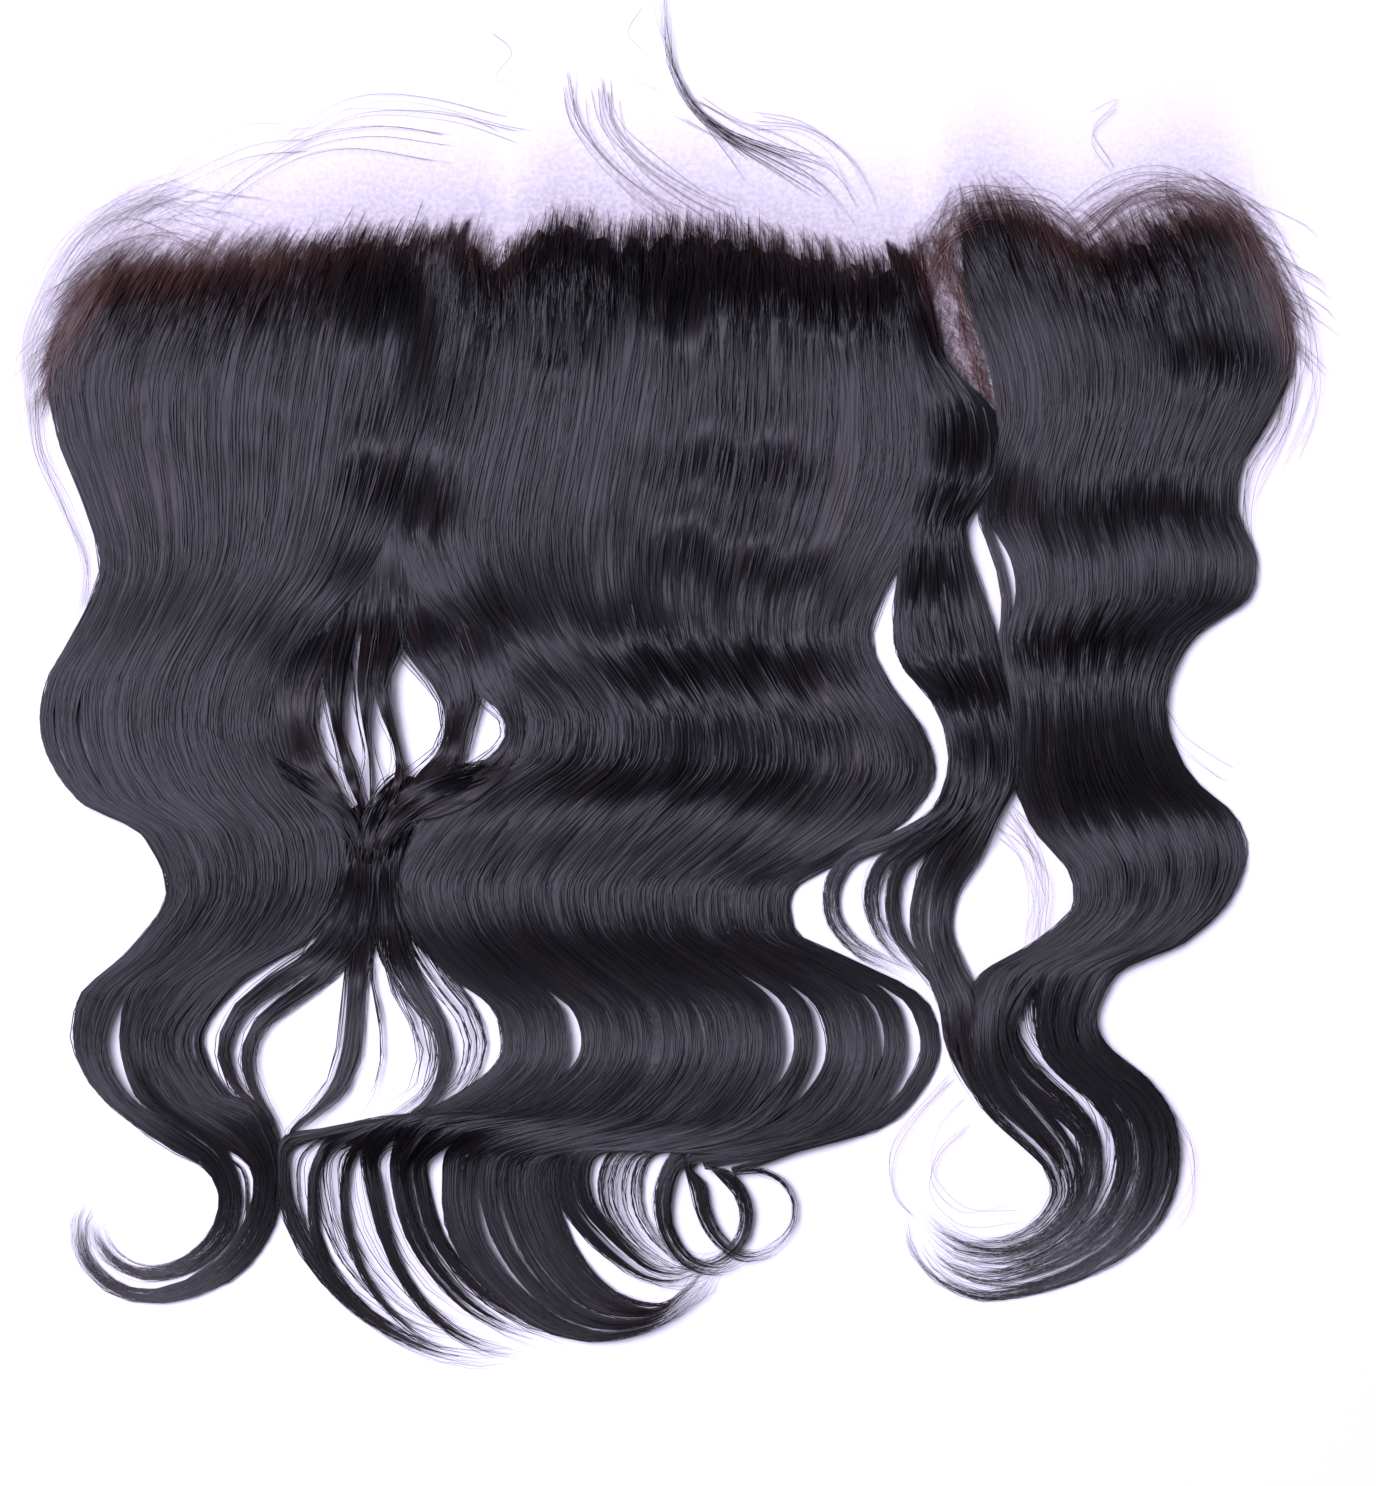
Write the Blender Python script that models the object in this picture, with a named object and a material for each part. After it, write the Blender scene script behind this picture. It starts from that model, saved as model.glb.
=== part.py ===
"""Lace frontal hairpiece, laid flat.

A band of fine net carries body-wave hair. The hair falls in wide sections that wave from side to
side, part into locks and end in curls. Everything lies on one flat surface at z = 0. The origin is
the middle of the hairline on the underside of the net, with +X to the wearer's left and +Y to the
front of the net.
"""
import math
from collections import namedtuple

import bmesh
import bpy

# The net band, in metres
BAND_WIDTH = 0.330
BAND_DEPTH = 0.1016
SIDE_MARGIN = 0.0075
FRONT_MARGIN_MIDDLE = 0.036
FRONT_MARGIN_CORNER = 0.078
NET_THICKNESS = 0.001

# The hair, in metres
HAIR_DROP = 0.300
HAIR_HEIGHT = 0.020
RAISED_LENGTH = 0.074
RAISED_THICKNESS = 0.0032
RINGLET_RADIUS = 0.0095
RINGLET_THICKNESS = 0.005
RINGLET_TIP = 0.5

# Clearance between the net and the hair that lies on it
SEAT_GAP = 0.0003
# The hair stays level with the net for this share of HAIR_DROP past the net's rear edge, which is more
# than one step of a fall, so that no face of it cuts the edge
REAR_OVERHANG = 0.055

# How finely the tables below are read; the first rows of a fall are nearly straight and take one step
STEPS_PER_FOLD = 3
STRAIGHT_ROWS = 4
FRONT_EDGE_STEPS = 4
TUBE_STEPS = 2
RINGLET_STEPS = 11
TUBE_BEVEL_RESOLUTION = 2
WELD_DISTANCE = 0.00001
SHARP_ANGLE = math.radians(50)

# One row for each fold of a fall, from the hairline to the tips. left and right are the places of its
# two edges as shares of half the band's width. Each down is a share of HAIR_DROP, height is a share of
# HAIR_HEIGHT, and gap is the share of a lock's pitch that the slot or groove beside it takes.
Fold = namedtuple("Fold", "left left_down right right_down height gap")

# A slit between two neighbouring locks, counted from the left, open between two rows of the fold table
Slit = namedtuple("Slit", "groove first_row last_row")

LEFT_FOLDS = (
    Fold(-0.890, 0.010, -0.376, 0.010, 0.13, 0.10),
    Fold(-0.985, 0.073, -0.382, 0.080, 0.35, 0.10),
    Fold(-1.012, 0.133, -0.400, 0.147, 0.55, 0.10),
    Fold(-0.964, 0.223, -0.442, 0.227, 0.70, 0.10),
    Fold(-0.909, 0.303, -0.482, 0.300, 0.75, 0.10),
    Fold(-0.958, 0.360, -0.570, 0.360, 0.70, 0.10),
    Fold(-1.006, 0.433, -0.655, 0.437, 0.80, 0.12),
    Fold(-0.952, 0.507, -0.600, 0.497, 0.70, 0.12),
    Fold(-0.848, 0.537, -0.545, 0.533, 0.65, 0.10),
    Fold(-0.806, 0.590, -0.533, 0.580, 0.70, 0.10),
    Fold(-0.873, 0.640, -0.588, 0.637, 0.60, 0.12),
    Fold(-0.939, 0.680, -0.709, 0.673, 0.55, 0.16),
    Fold(-0.952, 0.720, -0.764, 0.720, 0.55, 0.20),
    Fold(-0.909, 0.773, -0.709, 0.770, 0.50, 0.14),
    Fold(-0.800, 0.803, -0.642, 0.803, 0.45, 0.12),
    Fold(-0.721, 0.843, -0.636, 0.847, 0.40, 0.16),
    Fold(-0.739, 0.890, -0.661, 0.893, 0.35, 0.20),
    Fold(-0.806, 0.920, -0.764, 0.937, 0.30, 0.24),
    Fold(-0.885, 0.923, -0.891, 0.947, 0.22, 0.28),
    Fold(-0.930, 0.893, -0.952, 0.900, 0.14, 0.28),
)
LEFT_LOCKS = 4
LEFT_SLITS = (
    Slit(0, 6.0, 7.5),
    Slit(0, 11.0, 13.0),
    Slit(2, 11.0, 13.5),
    Slit(1, 16.0, 19.0),
)

TWIST_FOLDS = (
    Fold(-0.470, 0.287, -0.430, 0.287, 0.40, 0.15),
    Fold(-0.497, 0.333, -0.418, 0.330, 0.45, 0.15),
    Fold(-0.558, 0.373, -0.361, 0.373, 0.45, 0.25),
    Fold(-0.606, 0.413, -0.300, 0.407, 0.45, 0.45),
    Fold(-0.612, 0.447, -0.262, 0.445, 0.45, 0.45),
    Fold(-0.558, 0.483, -0.330, 0.485, 0.45, 0.30),
    Fold(-0.524, 0.510, -0.424, 0.513, 0.60, 0.15),
    Fold(-0.515, 0.580, -0.464, 0.580, 0.60, 0.15),
    Fold(-0.533, 0.633, -0.467, 0.633, 0.55, 0.20),
    Fold(-0.612, 0.660, -0.424, 0.667, 0.45, 0.45),
    Fold(-0.679, 0.687, -0.376, 0.697, 0.40, 0.60),
    Fold(-0.709, 0.723, -0.345, 0.730, 0.38, 0.62),
    Fold(-0.679, 0.760, -0.376, 0.757, 0.30, 0.60),
    Fold(-0.648, 0.782, -0.424, 0.765, 0.20, 0.55),
)
TWIST_LOCKS = 3
TWIST_SLITS = (
    Slit(0, 2.5, 5.0),
    Slit(1, 2.5, 5.0),
    Slit(0, 9.0, 13.0),
    Slit(1, 9.0, 13.0),
)

CENTRE_FOLDS = (
    Fold(-0.364, 0.000, 0.394, 0.020, 0.13, 0.08),
    Fold(-0.373, 0.080, 0.406, 0.093, 0.40, 0.08),
    Fold(-0.391, 0.147, 0.418, 0.153, 0.60, 0.08),
    Fold(-0.430, 0.223, 0.412, 0.220, 0.75, 0.08),
    Fold(-0.418, 0.293, 0.364, 0.287, 0.80, 0.08),
    Fold(-0.370, 0.353, 0.312, 0.357, 0.72, 0.08),
    Fold(-0.285, 0.400, 0.345, 0.407, 0.75, 0.08),
    Fold(-0.230, 0.447, 0.418, 0.460, 0.85, 0.08),
    Fold(-0.345, 0.500, 0.364, 0.523, 0.72, 0.08),
    Fold(-0.448, 0.587, 0.182, 0.600, 0.85, 0.10),
    Fold(-0.364, 0.660, 0.303, 0.653, 0.70, 0.12),
    Fold(-0.267, 0.713, 0.421, 0.710, 0.75, 0.20),
    Fold(-0.352, 0.770, 0.370, 0.785, 0.65, 0.14),
    Fold(-0.545, 0.800, 0.158, 0.828, 0.55, 0.16),
    Fold(-0.618, 0.853, -0.012, 0.860, 0.45, 0.30),
    Fold(-0.594, 0.903, 0.000, 0.900, 0.38, 0.38),
    Fold(-0.521, 0.953, 0.048, 0.923, 0.32, 0.40),
    Fold(-0.412, 0.987, 0.085, 0.933, 0.26, 0.36),
    Fold(-0.276, 1.000, 0.121, 0.923, 0.20, 0.30),
    Fold(-0.127, 0.997, 0.158, 0.903, 0.13, 0.25),
)
CENTRE_LOCKS = 7
CENTRE_SLITS = (
    Slit(0, 10.5, 12.0),
    Slit(4, 10.5, 12.0),
    Slit(5, 10.0, 12.5),
    Slit(0, 13.5, 19.0),
    Slit(1, 13.5, 19.0),
    Slit(2, 14.0, 19.0),
    Slit(3, 14.5, 19.0),
    Slit(4, 14.0, 19.0),
    Slit(5, 14.0, 19.0),
)

INNER_FOLDS = (
    Fold(0.442, 0.167, 0.503, 0.163, 0.30, 0.12),
    Fold(0.430, 0.213, 0.512, 0.213, 0.50, 0.12),
    Fold(0.388, 0.273, 0.467, 0.267, 0.60, 0.12),
    Fold(0.355, 0.323, 0.491, 0.317, 0.65, 0.12),
    Fold(0.358, 0.373, 0.515, 0.367, 0.65, 0.12),
    Fold(0.406, 0.420, 0.533, 0.420, 0.65, 0.12),
    Fold(0.442, 0.467, 0.533, 0.473, 0.65, 0.12),
    Fold(0.430, 0.510, 0.509, 0.520, 0.60, 0.20),
    Fold(0.345, 0.550, 0.473, 0.560, 0.50, 0.42),
    Fold(0.255, 0.597, 0.442, 0.600, 0.45, 0.50),
    Fold(0.291, 0.633, 0.442, 0.640, 0.40, 0.48),
    Fold(0.376, 0.655, 0.445, 0.667, 0.35, 0.35),
    Fold(0.412, 0.670, 0.448, 0.682, 0.20, 0.25),
)
INNER_LOCKS = 3
INNER_SLITS = (
    Slit(0, 8.0, 11.5),
    Slit(1, 8.0, 11.5),
)

RIGHT_FOLDS = (
    Fold(0.436, 0.003, 0.897, -0.010, 0.13, 0.10),
    Fold(0.461, 0.073, 0.970, 0.073, 0.40, 0.10),
    Fold(0.509, 0.143, 0.988, 0.140, 0.60, 0.10),
    Fold(0.530, 0.210, 0.921, 0.193, 0.70, 0.10),
    Fold(0.527, 0.263, 0.909, 0.240, 0.75, 0.10),
    Fold(0.564, 0.310, 0.933, 0.300, 0.80, 0.10),
    Fold(0.545, 0.363, 0.848, 0.357, 0.70, 0.10),
    Fold(0.552, 0.417, 0.788, 0.417, 0.70, 0.12),
    Fold(0.552, 0.477, 0.818, 0.480, 0.70, 0.12),
    Fold(0.570, 0.530, 0.897, 0.527, 0.70, 0.12),
    Fold(0.648, 0.587, 0.915, 0.570, 0.75, 0.12),
    Fold(0.588, 0.628, 0.836, 0.627, 0.65, 0.12),
    Fold(0.485, 0.663, 0.709, 0.663, 0.60, 0.16),
    Fold(0.452, 0.710, 0.673, 0.707, 0.60, 0.28),
    Fold(0.467, 0.763, 0.733, 0.757, 0.55, 0.28),
    Fold(0.545, 0.810, 0.794, 0.797, 0.45, 0.28),
    Fold(0.606, 0.853, 0.806, 0.837, 0.40, 0.28),
    Fold(0.576, 0.890, 0.739, 0.893, 0.35, 0.28),
    Fold(0.491, 0.900, 0.606, 0.930, 0.25, 0.30),
    Fold(0.418, 0.887, 0.497, 0.943, 0.20, 0.30),
    Fold(0.379, 0.860, 0.400, 0.910, 0.13, 0.25),
)
RIGHT_LOCKS = 4
RIGHT_SLITS = (
    Slit(1, 12.5, 16.0),
    Slit(2, 13.5, 16.5),
    Slit(0, 14.0, 15.5),
    Slit(1, 18.0, 20.0),
)

# Across a lock: place as a share of its width, upper height and lower height as shares of its height
Across = namedtuple("Across", "place top bottom")
LOCK_PROFILE = (
    Across(0.00, 0.60, 0.12),
    Across(0.50, 1.00, 0.00),
    Across(1.00, 0.60, 0.12),
)

# The net's front edge: place as a share of its half width, and how far it has risen from the middle
# margin to the corner margin
FrontPoint = namedtuple("FrontPoint", "place rise")
FRONT_EDGE = (
    FrontPoint(-1.00, 1.00),
    FrontPoint(-0.76, 0.86),
    FrontPoint(-0.47, 0.54),
    FrontPoint(-0.24, 0.13),
    FrontPoint(0.04, 0.00),
    FrontPoint(0.33, 0.13),
    FrontPoint(0.56, 0.54),
    FrontPoint(0.80, 0.86),
    FrontPoint(1.00, 1.00),
)

# The raised lock's route: shares of half the band's width and of its own length, and its thickness
RoutePoint = namedtuple("RoutePoint", "place reach thickness")
RAISED_ROUTE = (
    RoutePoint(0.300, 0.13, 0.70),
    RoutePoint(0.180, 0.23, 0.90),
    RoutePoint(0.082, 0.33, 1.00),
    RoutePoint(0.024, 0.44, 1.00),
    RoutePoint(-0.002, 0.56, 1.00),
    RoutePoint(-0.010, 0.70, 1.00),
    RoutePoint(-0.013, 0.85, 0.90),
    RoutePoint(-0.013, 1.00, 0.50),
)

# The ringlet at the middle section's end: its middle lies this far from the last tip that it crosses,
# as shares of its radius
RINGLET_INWARDS = 0.80
RINGLET_FORWARDS = 0.69
RINGLET_START_DEG = 118
RINGLET_SWEEP_DEG = 285

# Finishes, in linear colour
HAIR_COLOUR = (0.014, 0.012, 0.014, 1.0)
HAIR_ROUGHNESS = 0.42
NET_COLOUR = (0.72, 0.68, 0.74, 1.0)
NET_ROUGHNESS = 0.85


def clear_scene():
    for thing in list(bpy.data.objects):
        bpy.data.objects.remove(thing, do_unlink=True)


def make_collection(name):
    collection = bpy.data.collections.new(name)
    bpy.context.scene.collection.children.link(collection)
    return collection


def finish(name, colour, roughness):
    """A Principled material of one colour."""
    material = bpy.data.materials.new(name)
    material.use_nodes = True
    shader = material.node_tree.nodes["Principled BSDF"]
    shader.inputs["Base Color"].default_value = colour
    shader.inputs["Roughness"].default_value = roughness
    shader.inputs["Metallic"].default_value = 0.0
    return material


def through(before, start, end, after, share):
    """A value on the smooth curve that passes through start and end."""
    slope_in = (end - before) / 2
    slope_out = (after - start) / 2
    square = share * share
    cube = square * share
    return (
        (2 * cube - 3 * square + 1) * start
        + (cube - 2 * square + share) * slope_in
        + (3 * square - 2 * cube) * end
        + (cube - square) * slope_out
    )


def smooth_rows(rows, steps, straight=0):
    """The table read along a smooth curve through its rows, as pairs of a row's count and its values.

    After the first straight rows, steps - 1 more are worked out between each two of the table's own.
    """
    padded = (rows[0],) + tuple(rows) + (rows[-1],)
    smooth = []
    for index in range(len(rows) - 1):
        four = padded[index:index + 4]
        here = 1 if index < straight else steps
        for step in range(here):
            share = step / here
            values = [through(*column, share) for column in zip(*four)]
            smooth.append((index + share, type(rows[0])(*values)))
    smooth.append((len(rows) - 1, rows[-1]))
    return smooth


def rest_height(y):
    """The height of what the hair lies on: the net's upper side, or the surface past the net."""
    if y > -(BAND_DEPTH + REAR_OVERHANG * HAIR_DROP):
        return NET_THICKNESS + SEAT_GAP
    return 0.0


def lock_columns(locks, gap):
    """The places across a fall of every lock's profile points, from its left edge to its right."""
    pitch = 1 / locks
    columns = []
    for lock in range(locks):
        left = lock * pitch + (gap * pitch / 2 if lock > 0 else 0)
        right = (lock + 1) * pitch - (gap * pitch / 2 if lock < locks - 1 else 0)
        for across in LOCK_PROFILE:
            columns.append((left + across.place * (right - left), across))
    return columns


def make_fall(name, folds, locks, slits, collection):
    """A section of hair: one closed body of locks side by side, slit where the locks part."""
    stations = smooth_rows(folds, STEPS_PER_FOLD, STRAIGHT_ROWS)
    points = len(LOCK_PROFILE)
    columns = locks * points

    mesh = bmesh.new()
    bmesh.ops.create_grid(mesh, x_segments=columns - 1, y_segments=len(stations) - 1, size=1.0)
    mesh.verts.ensure_lookup_table()
    grid = sorted(mesh.verts, key=lambda vert: (-round(vert.co.y, 5), round(vert.co.x, 5)))
    rows = [grid[start:start + columns] for start in range(0, len(grid), columns)]

    half_width = BAND_WIDTH / 2
    undersides = {}
    for (count, station), row in zip(stations, rows):
        left = (station.left * half_width, -station.left_down * HAIR_DROP)
        right = (station.right * half_width, -station.right_down * HAIR_DROP)
        height = station.height * HAIR_HEIGHT
        for (place, across), vert in zip(lock_columns(locks, station.gap), row):
            x = left[0] + place * (right[0] - left[0])
            y = left[1] + place * (right[1] - left[1])
            seat = rest_height(y)
            vert.co = (x, y, seat + across.top * height)
            undersides[vert] = seat + across.bottom * height

    open_faces = []
    for slit in slits:
        groove = slit.groove * points + points - 1
        for station in range(len(stations) - 1):
            middle = (stations[station][0] + stations[station + 1][0]) / 2
            if slit.first_row < middle < slit.last_row:
                corners = set(rows[station][groove:groove + 2] + rows[station + 1][groove:groove + 2])
                faces = rows[station][groove].link_faces
                open_faces += [face for face in faces if set(face.verts) == corners]
    bmesh.ops.delete(mesh, geom=open_faces, context="FACES")

    upper = list(mesh.faces)
    lower_heights = {(round(vert.co.x, 9), round(vert.co.y, 9)): low for vert, low in undersides.items()}
    copied = bmesh.ops.extrude_face_region(mesh, geom=upper, use_keep_orig=True)["geom"]
    for vert in copied:
        if isinstance(vert, bmesh.types.BMVert):
            vert.co.z = lower_heights[(round(vert.co.x, 9), round(vert.co.y, 9))]
    bmesh.ops.recalc_face_normals(mesh, faces=list(mesh.faces))

    data = bpy.data.meshes.new(name)
    mesh.to_mesh(data)
    mesh.free()
    data.shade_smooth()
    data.set_sharp_from_angle(angle=SHARP_ANGLE)
    return place_hair(name, data, collection)


def place_hair(name, data, collection):
    thing = bpy.data.objects.new(name, data)
    data.materials.clear()
    data.materials.append(finish(name + "_hair", HAIR_COLOUR, HAIR_ROUGHNESS))
    collection.objects.link(thing)
    return thing


def make_tube(name, route, thicknesses, thickness, collection):
    """A round strand along a route of points, as a mesh with welded caps."""
    curve = bpy.data.curves.new(name + "_route", "CURVE")
    curve.dimensions = "3D"
    curve.bevel_depth = thickness / 2
    curve.bevel_resolution = TUBE_BEVEL_RESOLUTION
    curve.use_fill_caps = True
    spline = curve.splines.new("POLY")
    spline.points.add(len(route) - 1)
    for point, place, share in zip(spline.points, route, thicknesses):
        point.co = (*place, 1.0)
        point.radius = share
    guide = bpy.data.objects.new(name + "_route", curve)
    collection.objects.link(guide)
    bpy.context.view_layer.update()
    evaluated = guide.evaluated_get(bpy.context.evaluated_depsgraph_get())
    data = bpy.data.meshes.new_from_object(evaluated)
    bpy.data.objects.remove(guide, do_unlink=True)

    mesh = bmesh.new()
    mesh.from_mesh(data)
    bmesh.ops.remove_doubles(mesh, verts=list(mesh.verts), dist=WELD_DISTANCE)
    bmesh.ops.recalc_face_normals(mesh, faces=list(mesh.faces))
    mesh.to_mesh(data)
    mesh.free()
    data.shade_smooth()
    data.set_sharp_from_angle(angle=SHARP_ANGLE)
    return data


def make_net(collection):
    """The net: a thin flat sheet, straight at the back and sides, with its concave front edge."""
    half_width = BAND_WIDTH / 2 + SIDE_MARGIN
    outline = [(half_width, -BAND_DEPTH), (-half_width, -BAND_DEPTH)]
    for _, point in smooth_rows(FRONT_EDGE, FRONT_EDGE_STEPS):
        rise = point.rise * (FRONT_MARGIN_CORNER - FRONT_MARGIN_MIDDLE)
        outline.append((point.place * half_width, FRONT_MARGIN_MIDDLE + rise))

    curve = bpy.data.curves.new("lace_net", "CURVE")
    curve.dimensions = "2D"
    curve.fill_mode = "BOTH"
    curve.extrude = NET_THICKNESS / 2
    spline = curve.splines.new("POLY")
    spline.points.add(len(outline) - 1)
    for point, (x, y) in zip(spline.points, outline):
        point.co = (x, y, 0.0, 1.0)
    spline.use_cyclic_u = True
    net = bpy.data.objects.new("lace_net", curve)
    net.location.z = NET_THICKNESS / 2
    curve.materials.append(finish("fine_net", NET_COLOUR, NET_ROUGHNESS))
    collection.objects.link(net)
    return net


def make_raised_lock(collection):
    """The thin strand combed forward over the bare net and past its front edge."""
    half_width = BAND_WIDTH / 2
    places = []
    thicknesses = []
    for _, point in smooth_rows(RAISED_ROUTE, TUBE_STEPS):
        y = point.reach * RAISED_LENGTH
        radius = RAISED_THICKNESS / 2
        places.append((point.place * half_width, y, NET_THICKNESS + SEAT_GAP + radius))
        thicknesses.append(point.thickness)
    data = make_tube("raised_lock", places, thicknesses, RAISED_THICKNESS, collection)
    return place_hair("raised_lock", data, collection)


def add_ringlet(fall, guides):
    """Joins the open ring of hair at the middle section's end to that section.

    The exact solver loses the ring among the thin tips, so the join takes the manifold one.
    """
    tip = CENTRE_FOLDS[-1]
    centre_x = tip.right * BAND_WIDTH / 2 - RINGLET_INWARDS * RINGLET_RADIUS
    centre_y = -tip.right_down * HAIR_DROP + RINGLET_FORWARDS * RINGLET_RADIUS
    places = []
    thicknesses = []
    for step in range(RINGLET_STEPS + 1):
        share = step / RINGLET_STEPS
        angle = math.radians(RINGLET_START_DEG + share * RINGLET_SWEEP_DEG)
        x = centre_x + RINGLET_RADIUS * math.cos(angle)
        y = centre_y + RINGLET_RADIUS * math.sin(angle)
        places.append((x, y, SEAT_GAP + RINGLET_THICKNESS / 2))
        thicknesses.append(1.0 - (1.0 - RINGLET_TIP) * share)
    data = make_tube("ringlet", places, thicknesses, RINGLET_THICKNESS, guides)
    ringlet = place_hair("ringlet", data, guides)
    ringlet.hide_render = True
    ringlet.display_type = "WIRE"
    join = fall.modifiers.new("ringlet", "BOOLEAN")
    join.operation = "UNION"
    join.solver = "MANIFOLD"
    join.object = ringlet


def build():
    clear_scene()
    parts = make_collection("lace_frontal")
    guides = make_collection("guides")
    make_net(parts)
    make_fall("left_fall", LEFT_FOLDS, LEFT_LOCKS, LEFT_SLITS, parts)
    make_fall("twist_lock", TWIST_FOLDS, TWIST_LOCKS, TWIST_SLITS, parts)
    centre = make_fall("centre_fall", CENTRE_FOLDS, CENTRE_LOCKS, CENTRE_SLITS, parts)
    add_ringlet(centre, guides)
    make_fall("inner_lock", INNER_FOLDS, INNER_LOCKS, INNER_SLITS, parts)
    make_fall("right_fall", RIGHT_FOLDS, RIGHT_LOCKS, RIGHT_SLITS, parts)
    make_raised_lock(parts)


build()
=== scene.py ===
"""Lace frontal hairpiece: the strands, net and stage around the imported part.

Every section of hair is combed from a table of its folds: closed three-sided strands run between the
section's two edges, over a dark body of the hair beneath them. Tables are in millimetres, in the
frame's own axes: +X to the right, +Y to the front of the net, +Z up from the surface.
"""
import math
from collections import namedtuple

import bmesh
import bpy
import numpy as np
from bpy.props import FloatProperty, FloatVectorProperty, IntProperty, PointerProperty
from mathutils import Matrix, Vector


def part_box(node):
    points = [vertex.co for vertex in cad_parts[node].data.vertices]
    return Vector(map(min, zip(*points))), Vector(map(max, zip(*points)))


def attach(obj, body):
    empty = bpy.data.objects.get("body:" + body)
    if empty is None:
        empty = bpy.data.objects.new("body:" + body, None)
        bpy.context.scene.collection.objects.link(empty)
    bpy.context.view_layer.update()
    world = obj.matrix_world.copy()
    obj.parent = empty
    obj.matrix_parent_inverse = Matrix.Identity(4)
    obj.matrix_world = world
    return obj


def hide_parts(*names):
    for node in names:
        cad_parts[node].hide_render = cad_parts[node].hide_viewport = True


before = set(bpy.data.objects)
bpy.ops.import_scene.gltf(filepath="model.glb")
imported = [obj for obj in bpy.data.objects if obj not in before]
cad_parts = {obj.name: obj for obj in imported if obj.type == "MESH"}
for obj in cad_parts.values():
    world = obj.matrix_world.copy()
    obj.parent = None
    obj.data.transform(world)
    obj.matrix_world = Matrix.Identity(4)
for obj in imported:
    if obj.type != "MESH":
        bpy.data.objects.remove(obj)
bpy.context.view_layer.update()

bl_info = {
    "name": "Lace Frontal",
    "version": (1, 0, 0),
    "blender": (4, 5, 0),
    "location": "View3D > Sidebar > Lace Frontal",
    "description": "Combs a lace frontal hairpiece over its packed part",
    "category": "Add Mesh",
}

MM = 0.001

# How finely a course is read, and how far apart a strand's own points may be, in mm and in degrees
DENSE = 500
STEP_LENGTH = 20.0
STEP_TURN = 22.0
# The least height of a lock and of the hair anywhere within it, and the height of a section's edges as a
# share of its middle's
LOWEST_LOCK = 0.8
LOWEST_HAIR = 1.5
EDGE_SHARE = 0.12
# The surface under the hair: how far off the floor it is, the net's step, and where that begins and its run
OFF_FLOOR = 0.4
NET_STEP = 0.9
NET_STEP_START = -112
NET_STEP_RUN = 10
# A lock begins to leave its section this many folds before the last one, and takes this many to do so
LEAVING_BEFORE = 0.6
LEAVING_OVER = 1.8
# How much less the middle of a section sways than its edges, and the readings that its sway is judged over
CALM = 0.3
CALM_SPREAD = 40
CALM_REACH = 90
# How far from a slit, in mm, the strands still give way to it
SLIT_FADE = 5.0
# The height of the shallow swells, as a share of the hair's, and each swell's share of that, its mm, its
# waves across the section and its phase
SWELL = 0.008
SWELLS = ((1.0, 7.5, 19, 0), (0.8, 4.6, -31, 1))
# How far tufts run ahead of one another: each row has mm, waves across the section and a phase
OUT_OF_STEP = ((1.4, 47, 0), (1.0, 113, 1), (0.6, 199, 2))
# The share of strands that lie close to a lock's edges, how close in mm, and a tuft's width in mm
RIM_SHARE = 0.16
RIM_SPREAD = 0.35
TUFT_WIDTH = 3.0
# Where strands begin to gather into tufts, over how many mm, and the share of it that those at the rim keep
GATHER_START = 10
GATHER_RUN = 120
RIM_GATHER = 0.2
# How long a partial strand is as a share of its lock, and a root strand in mm
PARTIAL_RUN = (0.14, 0.34)
ROOT_RUN = (12, 32)
# How far above the last fold a tail strand begins at most, in mm
TAIL_LEAD = 25
# The share of strands that stray, how far tips fray in mm, and how far behind strands follow the waves in mm
LOOSE_SHARE = 0.08
FRAY = 1.3
LAG = 2.2
# How deep a strand's ends dive under the others, and between which shares of the height strands lie
DIVE = 0.10
LEVELS = (0.88, 0.97)
# The mass: its height as a share of the hair's, the sizes of its faces along and across in mm, how far
# behind the hairline it begins, and over how many mm it rises there, narrows to its end and falls away
MASS_LEVEL = 0.86
MASS_ROW = 3.2
MASS_COLUMN = 2.6
MASS_BACK = 3.5
MASS_RISE = 16
MASS_NARROWS = 30
MASS_FALL = 10
# Corners closer than this, in m, are one, and edges sharper than this many degrees stay sharp
MERGE_DISTANCE = 1e-7
SHARP_ANGLE = 60
# A strand's section: flat on top, as hair combed against its neighbours looks
PROFILE = ((-1.0, 0.0), (1.0, 0.0), (0.0, -0.8))
# The roughness of the hair's sheen, and how far it spreads across the hair instead of along it
SHEEN = 0.6
SPREAD = 0.95
# How far strands lean sideways off level, in radians
LEAN_OF_STRANDS = 0.7

# A fold of a section: its left and right edge and the height of the hair there
Fold = namedtuple("Fold", "left_x left_y right_x right_y height")
# A bend of a narrow lock: a point on its middle line, its width and its height
Bend = namedtuple("Bend", "x y width height")
# A lock that leaves its section below the folds: the share of the section's width that it takes, its
# strands, the share of its own width that the dark body fills, and its bends
Lock = namedtuple("Lock", "first last strands core bends")
# A gap between strands: its place across the section, where it opens and closes, and its widest width
Slit = namedtuple("Slit", "place top bottom width")
# A patch where the hair slopes down along its run and so turns dark: middle, half size, slope
Steep = namedtuple("Steep", "x y across along slope")


def rows_of(kind, *rows):
    """A table's rows of numbers, under the names of their columns."""
    return tuple(kind(*row) for row in rows)


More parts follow.
